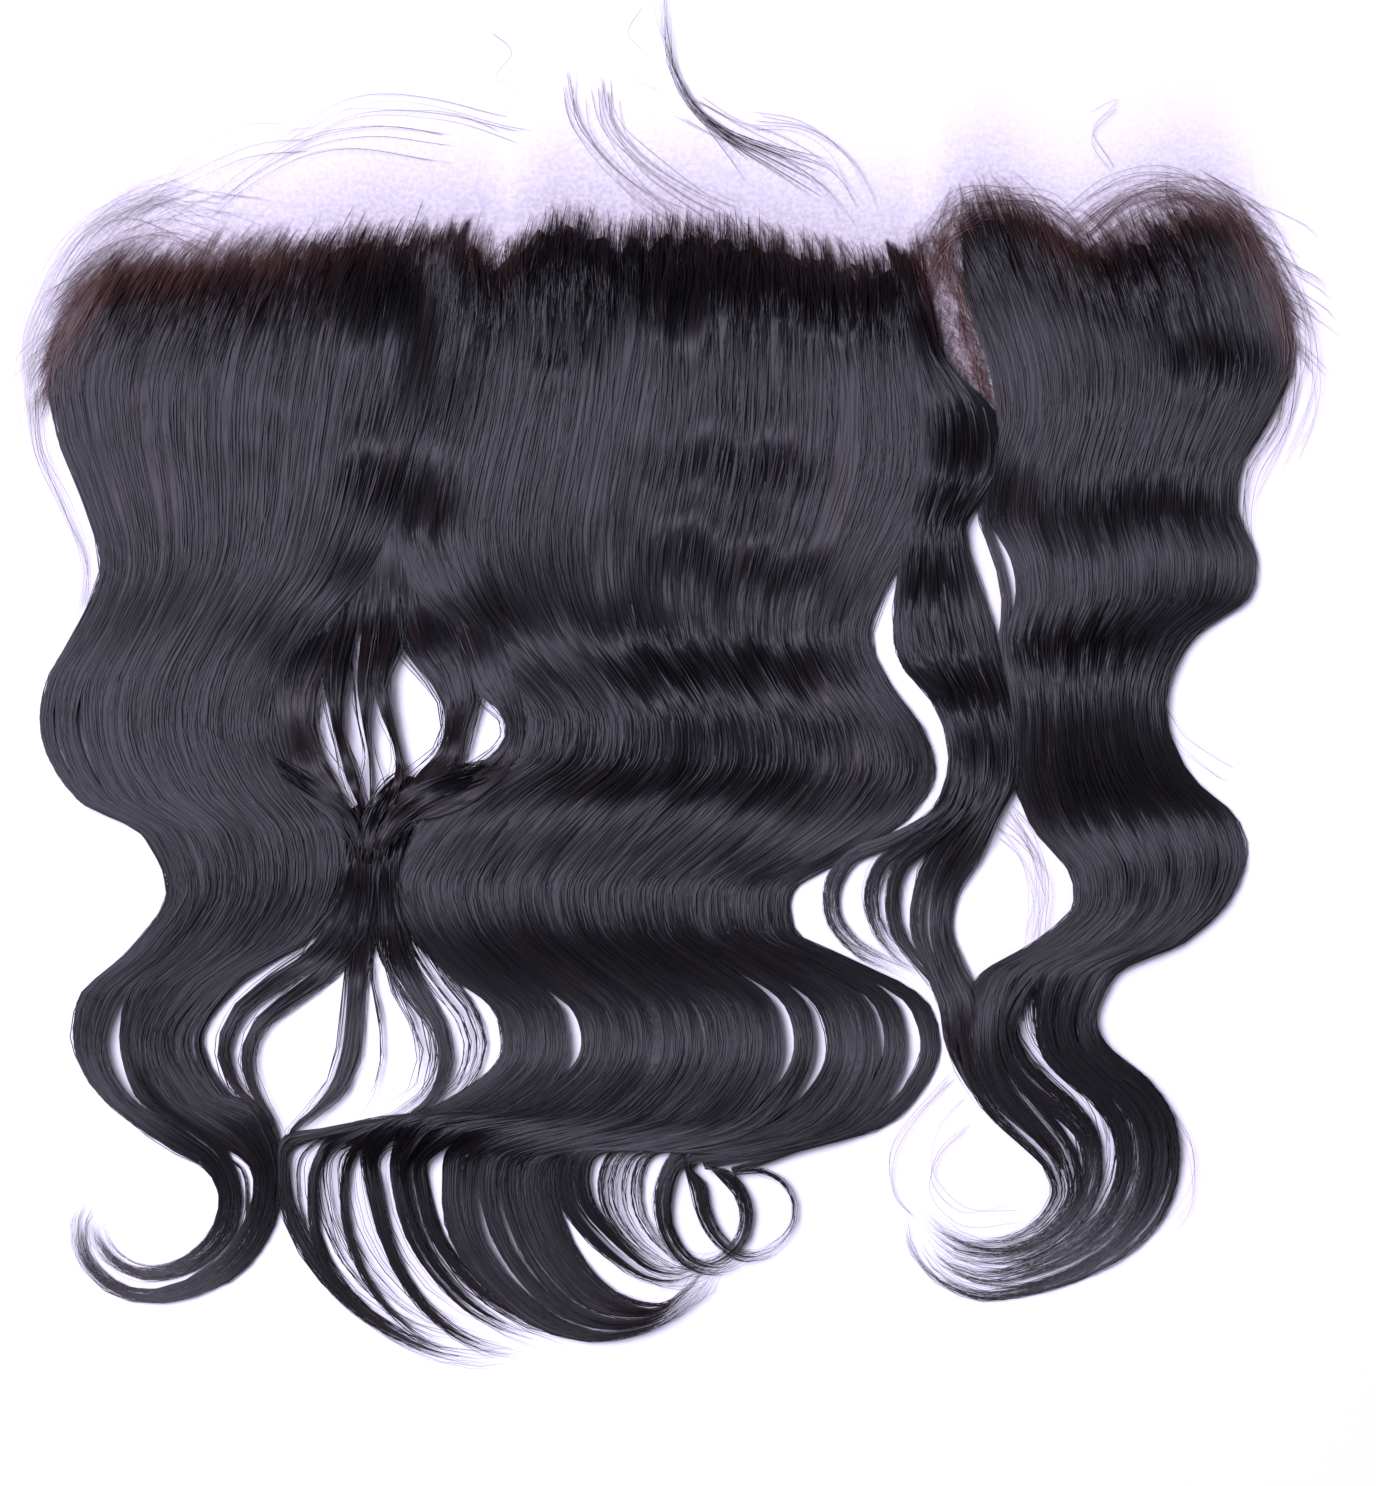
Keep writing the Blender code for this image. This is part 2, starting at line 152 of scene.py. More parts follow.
LEFT_FOLDS = rows_of(
    Fold, (-134, 10, -50, 8, 3.0), (-146, -8, -56, -10, 6.5), (-157, -24, -58, -26, 9.0),
    (-164, -40, -61, -44, 10.0), (-162, -56, -65, -58, 10.5), (-155, -74, -70, -74, 11.5),
    (-150.5, -91, -78, -91, 11.5), (-157, -108, -91, -107, 10.0), (-165, -122, -99, -120, 10.4),
    (-166, -134, -102, -133, 10.6), (-157, -152, -95, -149, 12.0), (-139, -162, -86.5, -161, 12.7),
    (-133, -177, -86, -174, 13.1), (-143, -192, -94, -188, 11.4), (-156, -205, -114, -201, 9.8),
    (-157, -217, -125, -215, 9.2), (-150, -231, -117, -230, 10.0),
)
LEFT_LOCKS = (
    Lock(0.00, 0.42, 120, 0.62, rows_of(
        Bend, (-130, -239.5, 10, 9), (-120, -246.5, 7.5, 7), (-116, -255.5, 6.4, 6), (-117.5, -264.5, 6, 5),
        (-123, -271.6, 5, 4), (-131, -276.2, 3.6, 3.4), (-140, -277.2, 2.2, 3), (-147.5, -273.6, 1.4, 2.6),
        (-152, -267.4, 1, 2.2), (-154, -261, 1, 1.2),
    )),
    Lock(0.42, 1.00, 170, 0.70, rows_of(
        Bend, (-113, -239.5, 15, 9.5), (-107.8, -248.5, 9, 7.5), (-107.4, -257.5, 7.6, 6.5),
        (-109.6, -266, 7.2, 5.5), (-115, -274, 6.4, 4.5), (-123.5, -280, 5, 4), (-134, -283.4, 3.6, 3.4),
        (-144, -282.6, 2.6, 3), (-151.5, -278, 2, 2.6), (-156, -270.8, 1.4, 2.2), (-156, -263.5, 1.2, 1.4),
        (-153, -258, 1, 1.2),
    )),
)
LEFT_SLITS = rows_of(
    Slit, (0.055, -126, -150, 1.2), (0.145, -123, -151, 1.8), (0.965, -154, -188, 1.6),
    (0.26, -201, -236, 4.4), (0.425, -236, -266, 2.4), (0.80, -203, -228, 2.0), (0.91, -200, -229, 2.0),
)
LEFT_STEEPS = rows_of(
    Steep, (-98, -139, 8, 6, 0.60), (-93, -152, 8, 5, 0.60), (-148, -16, 5, 8, -0.30),
    (-116, -17, 9, 6, -0.25), (-75, -20, 10, 11, -0.45), (-64, -38, 4, 14, -0.50), (-80, -44, 4, 7, 0.35),
    (-100, -55, 11, 5, 0.22), (-130, -49, 22, 6, 0.13), (-84, -67, 8, 7, 0.35), (-72, -72, 8, 12, 0.90),
    (-92, -112, 12, 8, 0.60),
)

CENTRE_FOLDS = rows_of(
    Fold, (-56, 9, 64, 4, 2.0), (-60, -12, 67, -16, 9.2), (-62, -28, 68, -32, 11.6),
    (-66, -46, 70, -48, 12.5), (-72, -67, 70, -66, 12.5), (-74, -84, 64, -82, 11.4),
    (-68, -98, 56, -97, 9.2), (-60, -108, 52, -109, 10.0), (-48, -120, 57, -122, 13.0),
    (-40, -131, 66, -134, 16.0), (-41, -139, 69, -144, 16.0), (-56, -150, 62, -157, 11.0),
    (-70, -164, 47, -167, 12.0), (-75, -175, 31, -177, 12.8), (-71.5, -185, 31.5, -186.5, 13.0),
    (-61, -197, 47, -194.5, 9.6), (-46, -210, 68, -208, 7.8), (-45, -219, 70, -218, 8.4),
    (-58, -231, 62, -234, 11.2), (-92, -239, 30, -246, 11.4),
)
CENTRE_LOCKS = (
    Lock(0.000, 0.050, 30, 0.45, rows_of(
        Bend, (-101.5, -243.5, 3.8, 6), (-102.4, -253, 3.4, 5.5), (-100.4, -263, 3.6, 5),
        (-95, -273.5, 4, 5), (-86.5, -283.5, 4, 4), (-76, -291.5, 3.6, 3.5), (-64, -297.5, 3, 3),
        (-50, -300, 2.6, 2.5), (-36, -298.5, 2, 2),
    )),
    Lock(0.050, 0.090, 24, 0.45, rows_of(
        Bend, (-90, -243, 3, 6), (-94, -250.5, 2.8, 5.5), (-94.6, -259, 2.6, 5), (-93.3, -269, 2.6, 5),
        (-89.5, -278, 3, 4), (-82, -287, 2.8, 3.5), (-70, -294.5, 2.6, 2.5), (-55, -298.5, 2, 2),
    )),
    Lock(0.090, 0.110, 16, 0.5, rows_of(
        Bend, (-84.5, -246, 2, 5), (-86.4, -255, 1.8, 4.5), (-85.6, -265, 1.6, 4), (-81.5, -277, 1.6, 3.5),
        (-74.5, -287, 1.6, 3), (-65, -294.5, 1.6, 2.5), (-52, -298.5, 1.6, 2),
    )),
    Lock(0.110, 0.155, 30, 0.6, rows_of(
        Bend, (-79.6, -246, 4.4, 6), (-78.4, -256, 4.4, 5.5), (-76.3, -266, 3.8, 5),
        (-72, -276.5, 3.2, 4.5), (-65.5, -286, 2.8, 4), (-57, -293, 2.6, 3), (-47, -297, 2.2, 2.4),
        (-36, -298.5, 1.8, 2),
    )),
    Lock(0.155, 0.230, 44, 0.50, rows_of(
        Bend, (-71.6, -248, 5.2, 7), (-70.8, -257, 4.8, 6.4), (-68, -267, 4.4, 6), (-62, -277, 4, 5),
        (-53.5, -286, 3.8, 4), (-43, -292, 3.4, 3), (-31, -295.5, 2.6, 2.2),
    )),
    Lock(0.230, 0.290, 36, 0.45, rows_of(
        Bend, (-66.2, -247, 3.8, 7), (-65.8, -256, 3.8, 6.4), (-63, -265.5, 4, 5.8), (-57, -275, 4, 5),
        (-48.5, -283.5, 4, 4), (-38, -290, 3.4, 3), (-24, -294.5, 2.4, 2.2),
    )),
    Lock(0.290, 0.630, 130, 0.86, rows_of(
        Fold, (-60, -246, -29, -246.5, 8.6), (-60.5, -254, -31.5, -253, 8.4), (-60, -262, -30, -260, 8.6),
        (-56.5, -271, -26.7, -268.7, 9), (-49, -281, -21.6, -276.4, 9.6), (-37, -291, -15, -282.3, 10.2),
        (-22, -295.4, -8, -285, 10), (-7.5, -293, -1.3, -285, 8), (3, -287.5, 3, -281.6, 6),
    ) + rows_of(
        Bend, (8, -280, 4.4, 4), (11, -274.5, 3, 3),
    )),
    Lock(0.630, 0.740, 50, 0.55, rows_of(
        Fold, (-30, -246, -21, -247, 9), (-31, -253, -22, -252.5, 8.5), (-29, -260.5, -20.5, -258.5, 8),
        (-23.8, -267.5, -16, -264.5, 7.5), (-16.5, -274, -11, -270, 6.5),
    ) + rows_of(
        Bend, (-7, -277, 5, 5), (1, -278.6, 4, 4.5), (8, -276.5, 3, 4), (13, -273, 2, 3),
    )),
    Lock(0.740, 0.870, 44, 0.0, rows_of(
        Fold, (-18, -246.5, -6, -247, 7), (-20, -253, -8, -252, 6.5), (-19, -260, -8, -259, 6),
        (-14.5, -267, -5.5, -265.5, 5.5), (-8, -273, -1, -270.5, 5),
    ) + rows_of(
        Bend, (3.5, -276, 3.5, 4), (12, -274.5, 2.4, 3),
    )),
    Lock(0.870, 0.915, 34, 0.35, rows_of(
        Bend, (1, -247.5, 5, 7), (-2, -254, 4.6, 7), (-2.6, -261.5, 4.4, 6.5), (-0.4, -268.5, 4.2, 6),
        (4.6, -274.5, 4.2, 5.5), (11.6, -276.5, 3.8, 5), (18, -274.5, 2.8, 4), (23, -270.5, 1.6, 3),
    )),
    Lock(0.915, 0.950, 30, 0.35, rows_of(
        Bend, (4, -248, 4.2, 7.5), (7, -254, 4.2, 7.5), (8.4, -261, 4, 7), (12, -268, 3.6, 6.5),
        (18, -272.6, 3, 5), (25.5, -272, 2, 4), (31.5, -267, 1.4, 3),
    )),
    Lock(0.950, 0.985, 34, 0.30, rows_of(
        Bend, (8.5, -248.5, 4, 7.5), (14, -251, 3.8, 7.5), (18, -255.5, 3.6, 7), (19.8, -261.5, 3.4, 6.5),
        (18.6, -267.5, 3.2, 6), (14.6, -272.5, 3, 6), (9, -275.2, 2.6, 5), (3, -274.6, 2, 4),
        (-1.6, -271, 1.4, 3.5),
    )),
    Lock(0.030, 0.300, 34, 0.0, rows_of(
        Fold, (-98, -246, -64, -246, 5), (-99, -258, -63, -258, 4.5), (-95, -270, -60, -268, 4),
        (-86, -282, -53, -279, 3.5), (-70, -292, -43, -288, 3),
    ) + rows_of(
        Bend, (-44, -294, 8, 2.5),
    )),
    Lock(0.985, 1.000, 12, 0.0, rows_of(
        Bend, (16, -250, 2, 6), (22.5, -250, 1.6, 5.5), (28.5, -252.5, 1.4, 5), (32, -258, 1.4, 4.5),
        (31.8, -264.5, 1.4, 4), (27.8, -269.6, 1.4, 3.5), (21.5, -272.4, 1.4, 3),
    )),
)
CENTRE_SLITS = rows_of(
    Slit, (0.184, -201, -228, 3.8), (0.49, -203, -224, 1.4), (0.685, -196, -236, 3.2),
    (0.75, -199, -240, 3.6), (0.885, -199, -230, 2.0), (0.947, -198, -238, 4.4), (0.40, -252, -284, 1.6),
    (0.46, -254, -286, 1.4),
)
CENTRE_STEEPS = rows_of(
    Steep, (-56, -152, 24, 7, 0.50), (-30, -35, 6, 5, -0.50), (1, -22, 7, 10, -0.45),
    (22, -18, 14, 7, -0.35), (48, -20, 12, 9, -0.45), (-58, -48, 6, 9, -0.45), (3, -64, 9, 8, 0.35),
    (25, -66, 10, 8, 0.50), (4, -85, 7, 6, 0.35), (24, -92, 13, 6, 0.40), (54, -97, 11, 6, 0.35),
    (-15, -91, 5, 7, -0.25), (-68, -73, 7, 11, 0.90), (-52, -106, 14, 10, 0.50), (-50, -119, 8, 7, -0.50),
    (-2, -118, 14, 7, -0.50), (32, -119, 20, 7, -0.50), (-29, -141, 9, 6, 0.35), (46, -141, 13, 5, -0.20),
    (40, -161, 14, 6, 0.50),
)

INNER_FOLDS = rows_of(
    Fold, (56, -4, 66, -9, 4), (60, -20, 68, -22, 7), (63, -34, 72, -37, 9.5), (65, -50, 85, -51, 10.5),
    (65, -66, 86, -66, 11), (61, -82, 77, -81, 12), (59, -98, 81, -96, 11), (58, -107, 84.5, -107, 12.5),
    (60, -116, 86, -114, 12.5), (68.5, -126, 90, -126, 9.5), (73, -138, 92, -139, 10),
    (73, -146, 91, -148, 12.5), (70.5, -154, 86, -156, 12.5),
)
INNER_LOCKS = (
    Lock(0.00, 0.13, 56, 0.0, rows_of(
        Bend, (58, -163.5, 3, 7), (46.5, -168, 4, 5), (42, -176, 4.6, 4), (42.5, -184, 4.4, 4),
        (48, -191, 3.6, 5), (58, -196, 3, 6), (66, -200, 2, 7),
    )),
    Lock(0.13, 0.22, 44, 0.0, rows_of(
        Bend, (62, -164, 3, 7), (55, -170, 4, 5), (52.5, -178, 4.4, 4), (54.5, -187, 4, 4),
        (60, -194, 3, 6), (68, -199, 2, 7),
    )),
    Lock(0.22, 0.40, 32, 0.75, rows_of(
        Bend, (66, -164, 4, 8), (60.3, -170, 3.8, 6), (58.4, -178, 3.8, 5), (60, -188, 3.8, 5),
        (65.5, -196, 3.5, 6), (71, -203, 3, 8), (73, -213, 3, 8),
    )),
    Lock(0.40, 1.00, 80, 0.85, rows_of(
        Bend, (76, -164, 13, 9), (70, -175, 11, 5.6), (68.5, -187, 10, 5.6), (71.5, -196.5, 9.5, 8.4),
        (75.5, -206, 11, 11), (76.5, -216, 10, 10), (80, -226, 7, 8), (87, -236, 4, 7),
    )),
)
INNER_SLITS = rows_of(
    Slit, (0.17, -143, -168, 1.4), (0.30, -146, -170, 0.9), (0.50, -167, -195, 1.1),
    (0.60, -172, -196, 0.8),
)
INNER_STEEPS = rows_of(
    Steep, (68, -93, 14, 12, 0.55), (76, -122, 14, 7, 0.50), (76, -60, 11, 14, 0.60),
)

RIGHT_FOLDS = rows_of(
    Fold, (67, 11, 146, 13, 2.5), (72, -5, 155, -6, 7.0), (77, -20, 160, -19, 10.0),
    (83.5, -38, 163, -38, 12.0), (85.5, -52, 156, -54, 12.5), (82, -66, 150, -64, 12.5),
    (81, -78, 149, -76, 10.5), (86, -90, 154, -89, 9.0), (87.5, -99, 152.5, -98, 10.0),
    (86, -111, 137, -110, 13.0), (89, -124, 130, -124, 15.0), (90, -132, 130, -133, 14.2),
    (90, -145, 136, -146, 10.6), (95, -160, 148, -157, 7.8), (105, -172, 151, -168, 9.6),
    (106, -180, 147, -179, 11.6), (97, -189, 137, -189, 11.4), (80, -200, 116, -200, 10.4),
)
RIGHT_LOCKS = (
    Lock(0.10, 0.92, 44, 0.0, rows_of(
        Fold, (86, -213, 112, -213, 7), (92, -223, 120, -222, 6.5), (102, -233, 129, -232, 6),
        (106, -246, 131, -245, 5), (103, -258, 127, -258, 4), (93, -268, 114, -272, 3),
    ) + rows_of(
        Bend, (88, -276, 11, 2.2), (72, -272, 7, 1.6), (64, -263, 4, 1.2),
    )),
    Lock(0.00, 0.26, 70, 0.88, rows_of(
        Bend, (82, -211, 13, 10), (82.6, -220, 14, 9.5), (87, -229.5, 13.5, 9), (95, -238.5, 12, 8.5),
        (102, -247, 9.4, 8), (104, -256, 8, 7), (99.5, -264, 6.6, 6), (89.5, -269.4, 4.4, 5),
        (78.5, -269.4, 3, 4), (69.5, -265, 2, 3), (63, -258.5, 1, 2),
    )),
    Lock(0.26, 0.42, 50, 0.60, rows_of(
        Bend, (87.4, -211.5, 6, 9), (89.4, -219.5, 6, 8.5), (95.5, -227.5, 6.4, 8),
        (103.4, -233.6, 6.4, 7.5), (109.4, -240.4, 5.6, 7), (111.2, -248, 5.4, 7), (110, -256, 5.4, 6.5),
        (105, -264, 5.4, 5.5), (96.5, -270.5, 4.4, 4.5), (85.5, -273.6, 3.4, 3.5), (75, -272, 2.4, 2.5),
        (66.5, -265.5, 1.4, 1.8),
    )),
    Lock(0.42, 0.60, 50, 0.60, rows_of(
        Bend, (97.6, -211, 5, 9), (99.2, -218, 5, 8.5), (104.8, -224.6, 5, 8), (112, -230.6, 4.6, 7.5),
        (117.2, -238, 4, 7), (119.2, -246, 3.6, 6.5), (118.2, -254, 3.6, 6), (114.5, -262, 4, 5),
        (107, -269.5, 4.4, 4), (96, -275.4, 4, 3), (83, -278.4, 3, 2.4), (72, -274.5, 2, 2),
        (65, -267, 1.4, 1.6),
    )),
    Lock(0.60, 0.78, 52, 0.60, rows_of(
        Bend, (102.8, -210.5, 5.6, 9), (104.8, -218, 5.6, 8.5), (110.8, -224, 5.4, 8), (118, -230, 5, 7.5),
        (123.2, -237.5, 4.4, 7), (125, -246, 4, 6.5), (124, -254.5, 4.2, 6), (120, -263, 4.8, 5),
        (112, -271, 5, 4), (100, -277.4, 4, 3), (86.5, -281, 3, 2.2), (75, -278.6, 2, 1.8),
        (67, -271.5, 1.4, 1.5),
    )),
    Lock(0.78, 1.00, 60, 0.70, rows_of(
        Bend, (108.6, -210, 6, 8.5), (110.8, -217.5, 6, 8.5), (116.2, -223.2, 6, 8),
        (123.4, -228.8, 6.2, 7.5), (128.8, -236.5, 6, 7), (130.6, -245, 5.4, 6.5), (129.8, -253.5, 5.2, 6),
        (126, -262.5, 5.6, 5), (118, -271, 5.6, 4), (107, -277.4, 4.4, 3), (93, -282, 3, 2.2),
        (80.5, -283, 2, 1.8), (70.5, -278.5, 1.4, 1.5), (63.5, -269.5, 1, 1.2), (62, -260, 0.8, 1.2),
    )),
)
RIGHT_SLITS = rows_of(
    Slit, (0.035, -79, -106, 2.6), (0.76, -117, -148, 0.7), (0.30, -132, -150, 0.5),
    (0.20, -146, -160, 0.5), (0.60, -158, -172, 0.7), (0.35, -160, -180, 0.7), (0.86, -152, -182, 1.2),
    (0.90, -234, -268, 1.2),
)
RIGHT_STEEPS = rows_of(
    Steep, (143, -35, 13, 6, -0.45), (142, -54, 8, 6, 0.45), (111, -55, 9, 5, 0.40), (84, -66, 6, 14, 0.50),
    (128, -74, 14, 5, 0.40), (79, -32, 3, 9, -0.35), (95, -115, 12, 6, -0.50), (114, -111, 9, 5, -0.35),
    (112, -150, 20, 6, 0.20),
)

# The strands between the left and the middle section: three that cross the knot, six arms round the eyelets,
# gathered in a twist, and the branches below it
TWIST_LOCKS = (
    Lock(0, 1, 34, 0.8, rows_of(
        Bend, (-112, -136, 3, 4), (-102, -143.5, 6, 9), (-93, -150, 7, 12), (-85, -157.5, 7, 12.5),
        (-81, -167, 6, 11), (-80, -180, 4, 8),
    )),
    Lock(0, 1, 44, 0.8, rows_of(
        Bend, (-34, -141, 3, 4), (-48, -145.5, 7, 9), (-61, -150, 9, 12.5), (-71, -155.5, 9, 13),
        (-77, -164, 7, 11.5), (-79, -179, 4, 8),
    )),
    Lock(0, 1, 30, 0.8, rows_of(
        Bend, (-67, -143, 4, 8), (-74, -151, 8, 11.5), (-78.5, -160, 8, 12), (-80, -170, 6, 10),
        (-80, -182, 4, 7),
    )),
    Lock(0, 1, 40, 0.85, rows_of(
        Bend, (-79.5, -58, 12, 1), (-84, -78, 12, 2.3), (-88, -95, 16, 4.3), (-95, -110, 18, 6.4),
        (-99, -122, 15, 8.5), (-98.6, -133, 12, 9.3), (-96, -142, 13, 9), (-90.5, -150, 13, 9.5),
        (-84, -160, 10, 9.4), (-82, -172, 6, 7),
    )),
    Lock(0, 1, 24, 0.8, rows_of(
        Bend, (-76.7, -60, 9, 1), (-80, -80, 9, 2.5), (-83, -97, 10, 4.5), (-87, -111, 9.5, 6.5),
        (-88.6, -121, 9, 8.3), (-88.4, -129, 5.4, 9.4), (-87, -138, 4, 8), (-84.5, -146, 7, 9),
        (-81.5, -156, 6, 10), (-81, -170, 6, 7),
    )),
    Lock(0, 1, 20, 0.5, rows_of(
        Bend, (-75.3, -64, 8, 1.3), (-78, -84, 8, 3), (-79, -100, 9, 4.9), (-80.6, -112, 8, 6.7),
        (-81.4, -122, 7, 8.5), (-80.8, -132, 4, 9.4), (-79.7, -141, 3, 7.5), (-79.4, -149, 7, 11.5),
        (-80, -162, 6, 9),
    )),
    Lock(0, 1, 22, 0.75, rows_of(
        Bend, (-72.5, -64, 8, 1.3), (-74, -84, 8, 3), (-74, -100, 11, 4.9), (-74.6, -111, 10, 6.6),
        (-76.8, -120, 6.6, 8.3), (-75.2, -130, 4.4, 9.5), (-72.6, -138, 3.4, 8), (-71.6, -146, 8, 9),
        (-75, -154, 9, 10.5), (-79, -166, 7, 8),
    )),
    Lock(0, 1, 36, 0.85, rows_of(
        Bend, (-68.3, -60, 12, 1), (-68, -80, 12, 2.5), (-67, -97, 16, 4.5), (-63.6, -109, 20, 6.3),
        (-57.8, -119.5, 15.5, 8), (-56, -127, 11.5, 9.1), (-56.9, -133.5, 8, 9.3), (-58.5, -140.5, 9, 9),
        (-65, -148, 11, 9.5), (-74, -156, 9, 10.5), (-78.5, -172, 7, 7),
    )),
    Lock(0, 1, 32, 0.8, rows_of(
        Bend, (-61.3, -62, 12, 1.1), (-58, -82, 12, 2.7), (-55, -98, 16, 4.6), (-50, -111, 18, 6.5),
        (-46.5, -120.5, 18, 8.2), (-42.4, -128, 9.6, 9.2), (-41, -134.5, 8, 9.3), (-42.6, -140.5, 10, 9.5),
        (-50, -147.4, 11, 9), (-61, -154, 12, 9.5), (-74, -160, 9, 9.5), (-78.5, -172, 6, 7),
    )),
    Lock(0, 1, 26, 0.75, rows_of(
        Bend, (-84, -150, 4, 6), (-83.5, -160, 7, 10.5), (-84, -172, 7, 8), (-88, -185, 8, 5.5),
        (-95.5, -194.5, 7, 5.2), (-106, -201, 6, 6), (-114.5, -208.5, 5.5, 7), (-118, -218, 5, 7),
        (-115, -228, 4.4, 6.5), (-108, -235, 4, 6), (-104, -243, 3, 6), (-103, -255, 2, 5),
    )),
    Lock(0, 1, 26, 0.75, rows_of(
        Bend, (-79, -150, 4, 6), (-81, -160, 8, 10.5), (-81, -174, 8, 7.5), (-83.5, -187, 8, 5),
        (-91.5, -198, 7, 5.2), (-101, -205, 6, 6), (-109, -212, 5.2, 7), (-112, -220, 5, 7),
        (-110, -229.5, 4.4, 6.5), (-105, -237.5, 3.4, 6), (-102.6, -248, 2.6, 6), (-102, -258, 2, 5),
    )),
    Lock(0, 1, 34, 0.75, rows_of(
        Bend, (-79, -150, 4, 6), (-80, -162, 9, 10), (-80.5, -180, 8.5, 6.5), (-83, -196, 7, 5),
        (-84, -210, 6.8, 4.6), (-85, -220, 7.4, 5), (-88.6, -228.5, 6.4, 6), (-94.5, -234.5, 4.6, 6),
        (-100, -239, 4, 6), (-102.4, -247, 3, 6), (-102.6, -257, 2, 5),
    )),
    Lock(0, 1, 8, 0.0, rows_of(
        Bend, (-79, -184, 2, 9), (-79.4, -198, 1.6, 7), (-77.2, -210, 1.4, 5), (-76.6, -220, 1.4, 4),
        (-79, -230, 1.2, 4), (-84, -237, 1, 5),
    )),
    Lock(0, 1, 44, 0.75, rows_of(
        Bend, (-67, -152, 7, 6.5), (-74.5, -164, 8, 9.5), (-75, -180, 8, 6.5), (-73, -193, 8.4, 5.2),
        (-67.5, -203, 6.6, 5), (-61.5, -212, 5.6, 5.5), (-60, -221, 5.6, 6.5), (-63, -230, 5.6, 6),
        (-72, -237, 5, 6), (-86, -241, 4, 6),
    )),
    Lock(0, 1, 14, 0.0, rows_of(
        Bend, (-75, -176, 5, 8), (-75, -190, 4, 6), (-71.5, -203, 4, 5.6), (-66.5, -212, 4, 6),
        (-65, -221, 4, 5.5), (-68, -230, 4, 5.5), (-78, -237, 3, 6),
    )),
    Lock(0, 1, 26, 0.0, rows_of(
        Bend, (-72.5, -164, 5, 9), (-72, -177, 6, 8), (-67.5, -190, 6, 6), (-61.5, -200, 6, 5.6),
        (-55, -208, 6, 6), (-52, -217, 6, 5), (-54.5, -226, 5, 5), (-63, -234, 4, 6), (-76, -239, 3, 6),
    )),
)
TWIST_STEEPS = rows_of(
    Steep, (-90, -112, 12, 8, -0.35), (-54, -109, 16, 9, -0.35), (-75, -110, 12, 8, -0.35),
    (-80, -123, 20, 5, -0.35), (-80, -139, 20, 6, 0.40), (-57, -144, 13, 5, -0.40),
    (-67, -154, 24, 5, 0.70), (-78, -174, 30, 9, 0.30), (-80, -192, 22, 7, 0.60),
)

RAISED_LOCKS = (
    Lock(0, 1, 15, 0.0, rows_of(
        Bend, (44, 9, 14, 1.2), (28, 16.5, 7, 2), (14, 23.5, 3, 2.6), (5, 31, 2, 3), (0.5, 39, 1.8, 3),
        (-1.5, 50, 1.8, 3), (-2, 62, 1.6, 2.6), (-2, 77, 1.2, 2),
    )),
    Lock(0, 1, 8, 0.0, rows_of(
        Bend, (24, 12, 10, 1.2), (15, 20, 4, 2), (6, 30, 2, 2.6), (1, 39, 1.6, 3), (-2.5, 50, 2, 3),
        (-4, 62, 2.6, 2.6), (-6.5, 77, 3.2, 2),
    )),
)

# Where the dark mass begins along the hairline, from left to right
MASS_TOP = (
    (-170, -48), (-164, -40), (-158, -31), (-152, -23), (-147, -17), (-141, -15), (-135, -14), (-130, -16),
    (-125, -15), (-120, -12.5), (-115, -12.5), (-110, -12.5), (-105, -12), (-100, -10.5), (-95, -9),
    (-90, -7.5), (-85, -6), (-78, -4.5), (-72, -4.5), (-65, -5), (-58, -4.5), (-52, -4.2), (-48.5, -5.5),
    (-46, -8), (-44, -11), (-42, -9.5), (-39, -5.5), (-35, -2), (-30, 0.5), (-24, -0.5), (-18, -1.8),
    (-12, -3), (-6, -2), (2, -1.4), (10, -2), (18, -3), (25, -4.5), (33, -6.5), (40, -8.5), (47, -10),
    (53, -10.5), (60, -9.5), (64, -12), (67.5, -20), (69, -10), (71, -4), (75, 0), (81, 3), (87, 3), (92, -1),
    (97, -4.5), (103, -8), (109, -8), (115, -5), (121, -2.5), (128, 1), (136, 2.5), (142, 1), (147, -3),
    (152, -11), (157, -21), (162, -34),
)
# How far a short hair at the hairline leans sideways for each mm that it runs back, from left to right
LEAN = (
    (-166, -0.25), (-157, -0.6), (-147, -0.95), (-120, -0.7), (-90, -0.55), (-60, -0.45), (-40, -0.3),
    (-18, -0.05), (5, 0.15), (25, 0.4), (45, 0.55), (64, 0.65), (70, -0.2), (80, 0.2), (92, 0.8), (105, 0.9),
    (118, 0.5), (135, 1.0), (150, 1.2), (162, 0.7),
)
# How brown the roots are along the hairline, from left to right, and how deep that reaches, in mm
BROWN_ROOTS = (
    (-166, 0.8), (-150, 0.8), (-145, 0.5), (-138, 0.9), (-128, 0.7), (-118, 0.45), (-104, 0.6), (-90, 0.5),
    (-80, 0.3), (-68, 0.1), (-56, 0.2), (-50, 0.6), (-45, 0.4), (-38, 0.1), (-10, 0.05), (20, 0.15),
    (46, 0.3), (56, 0.1), (66, 0.3), (72, 0.6), (78, 0.35), (90, 0.2), (104, 0.5), (112, 0.2), (126, 0.3),
    (140, 0.4), (154, 0.6), (165, 0.6),
)
BROWN_DEPTH = 4.5

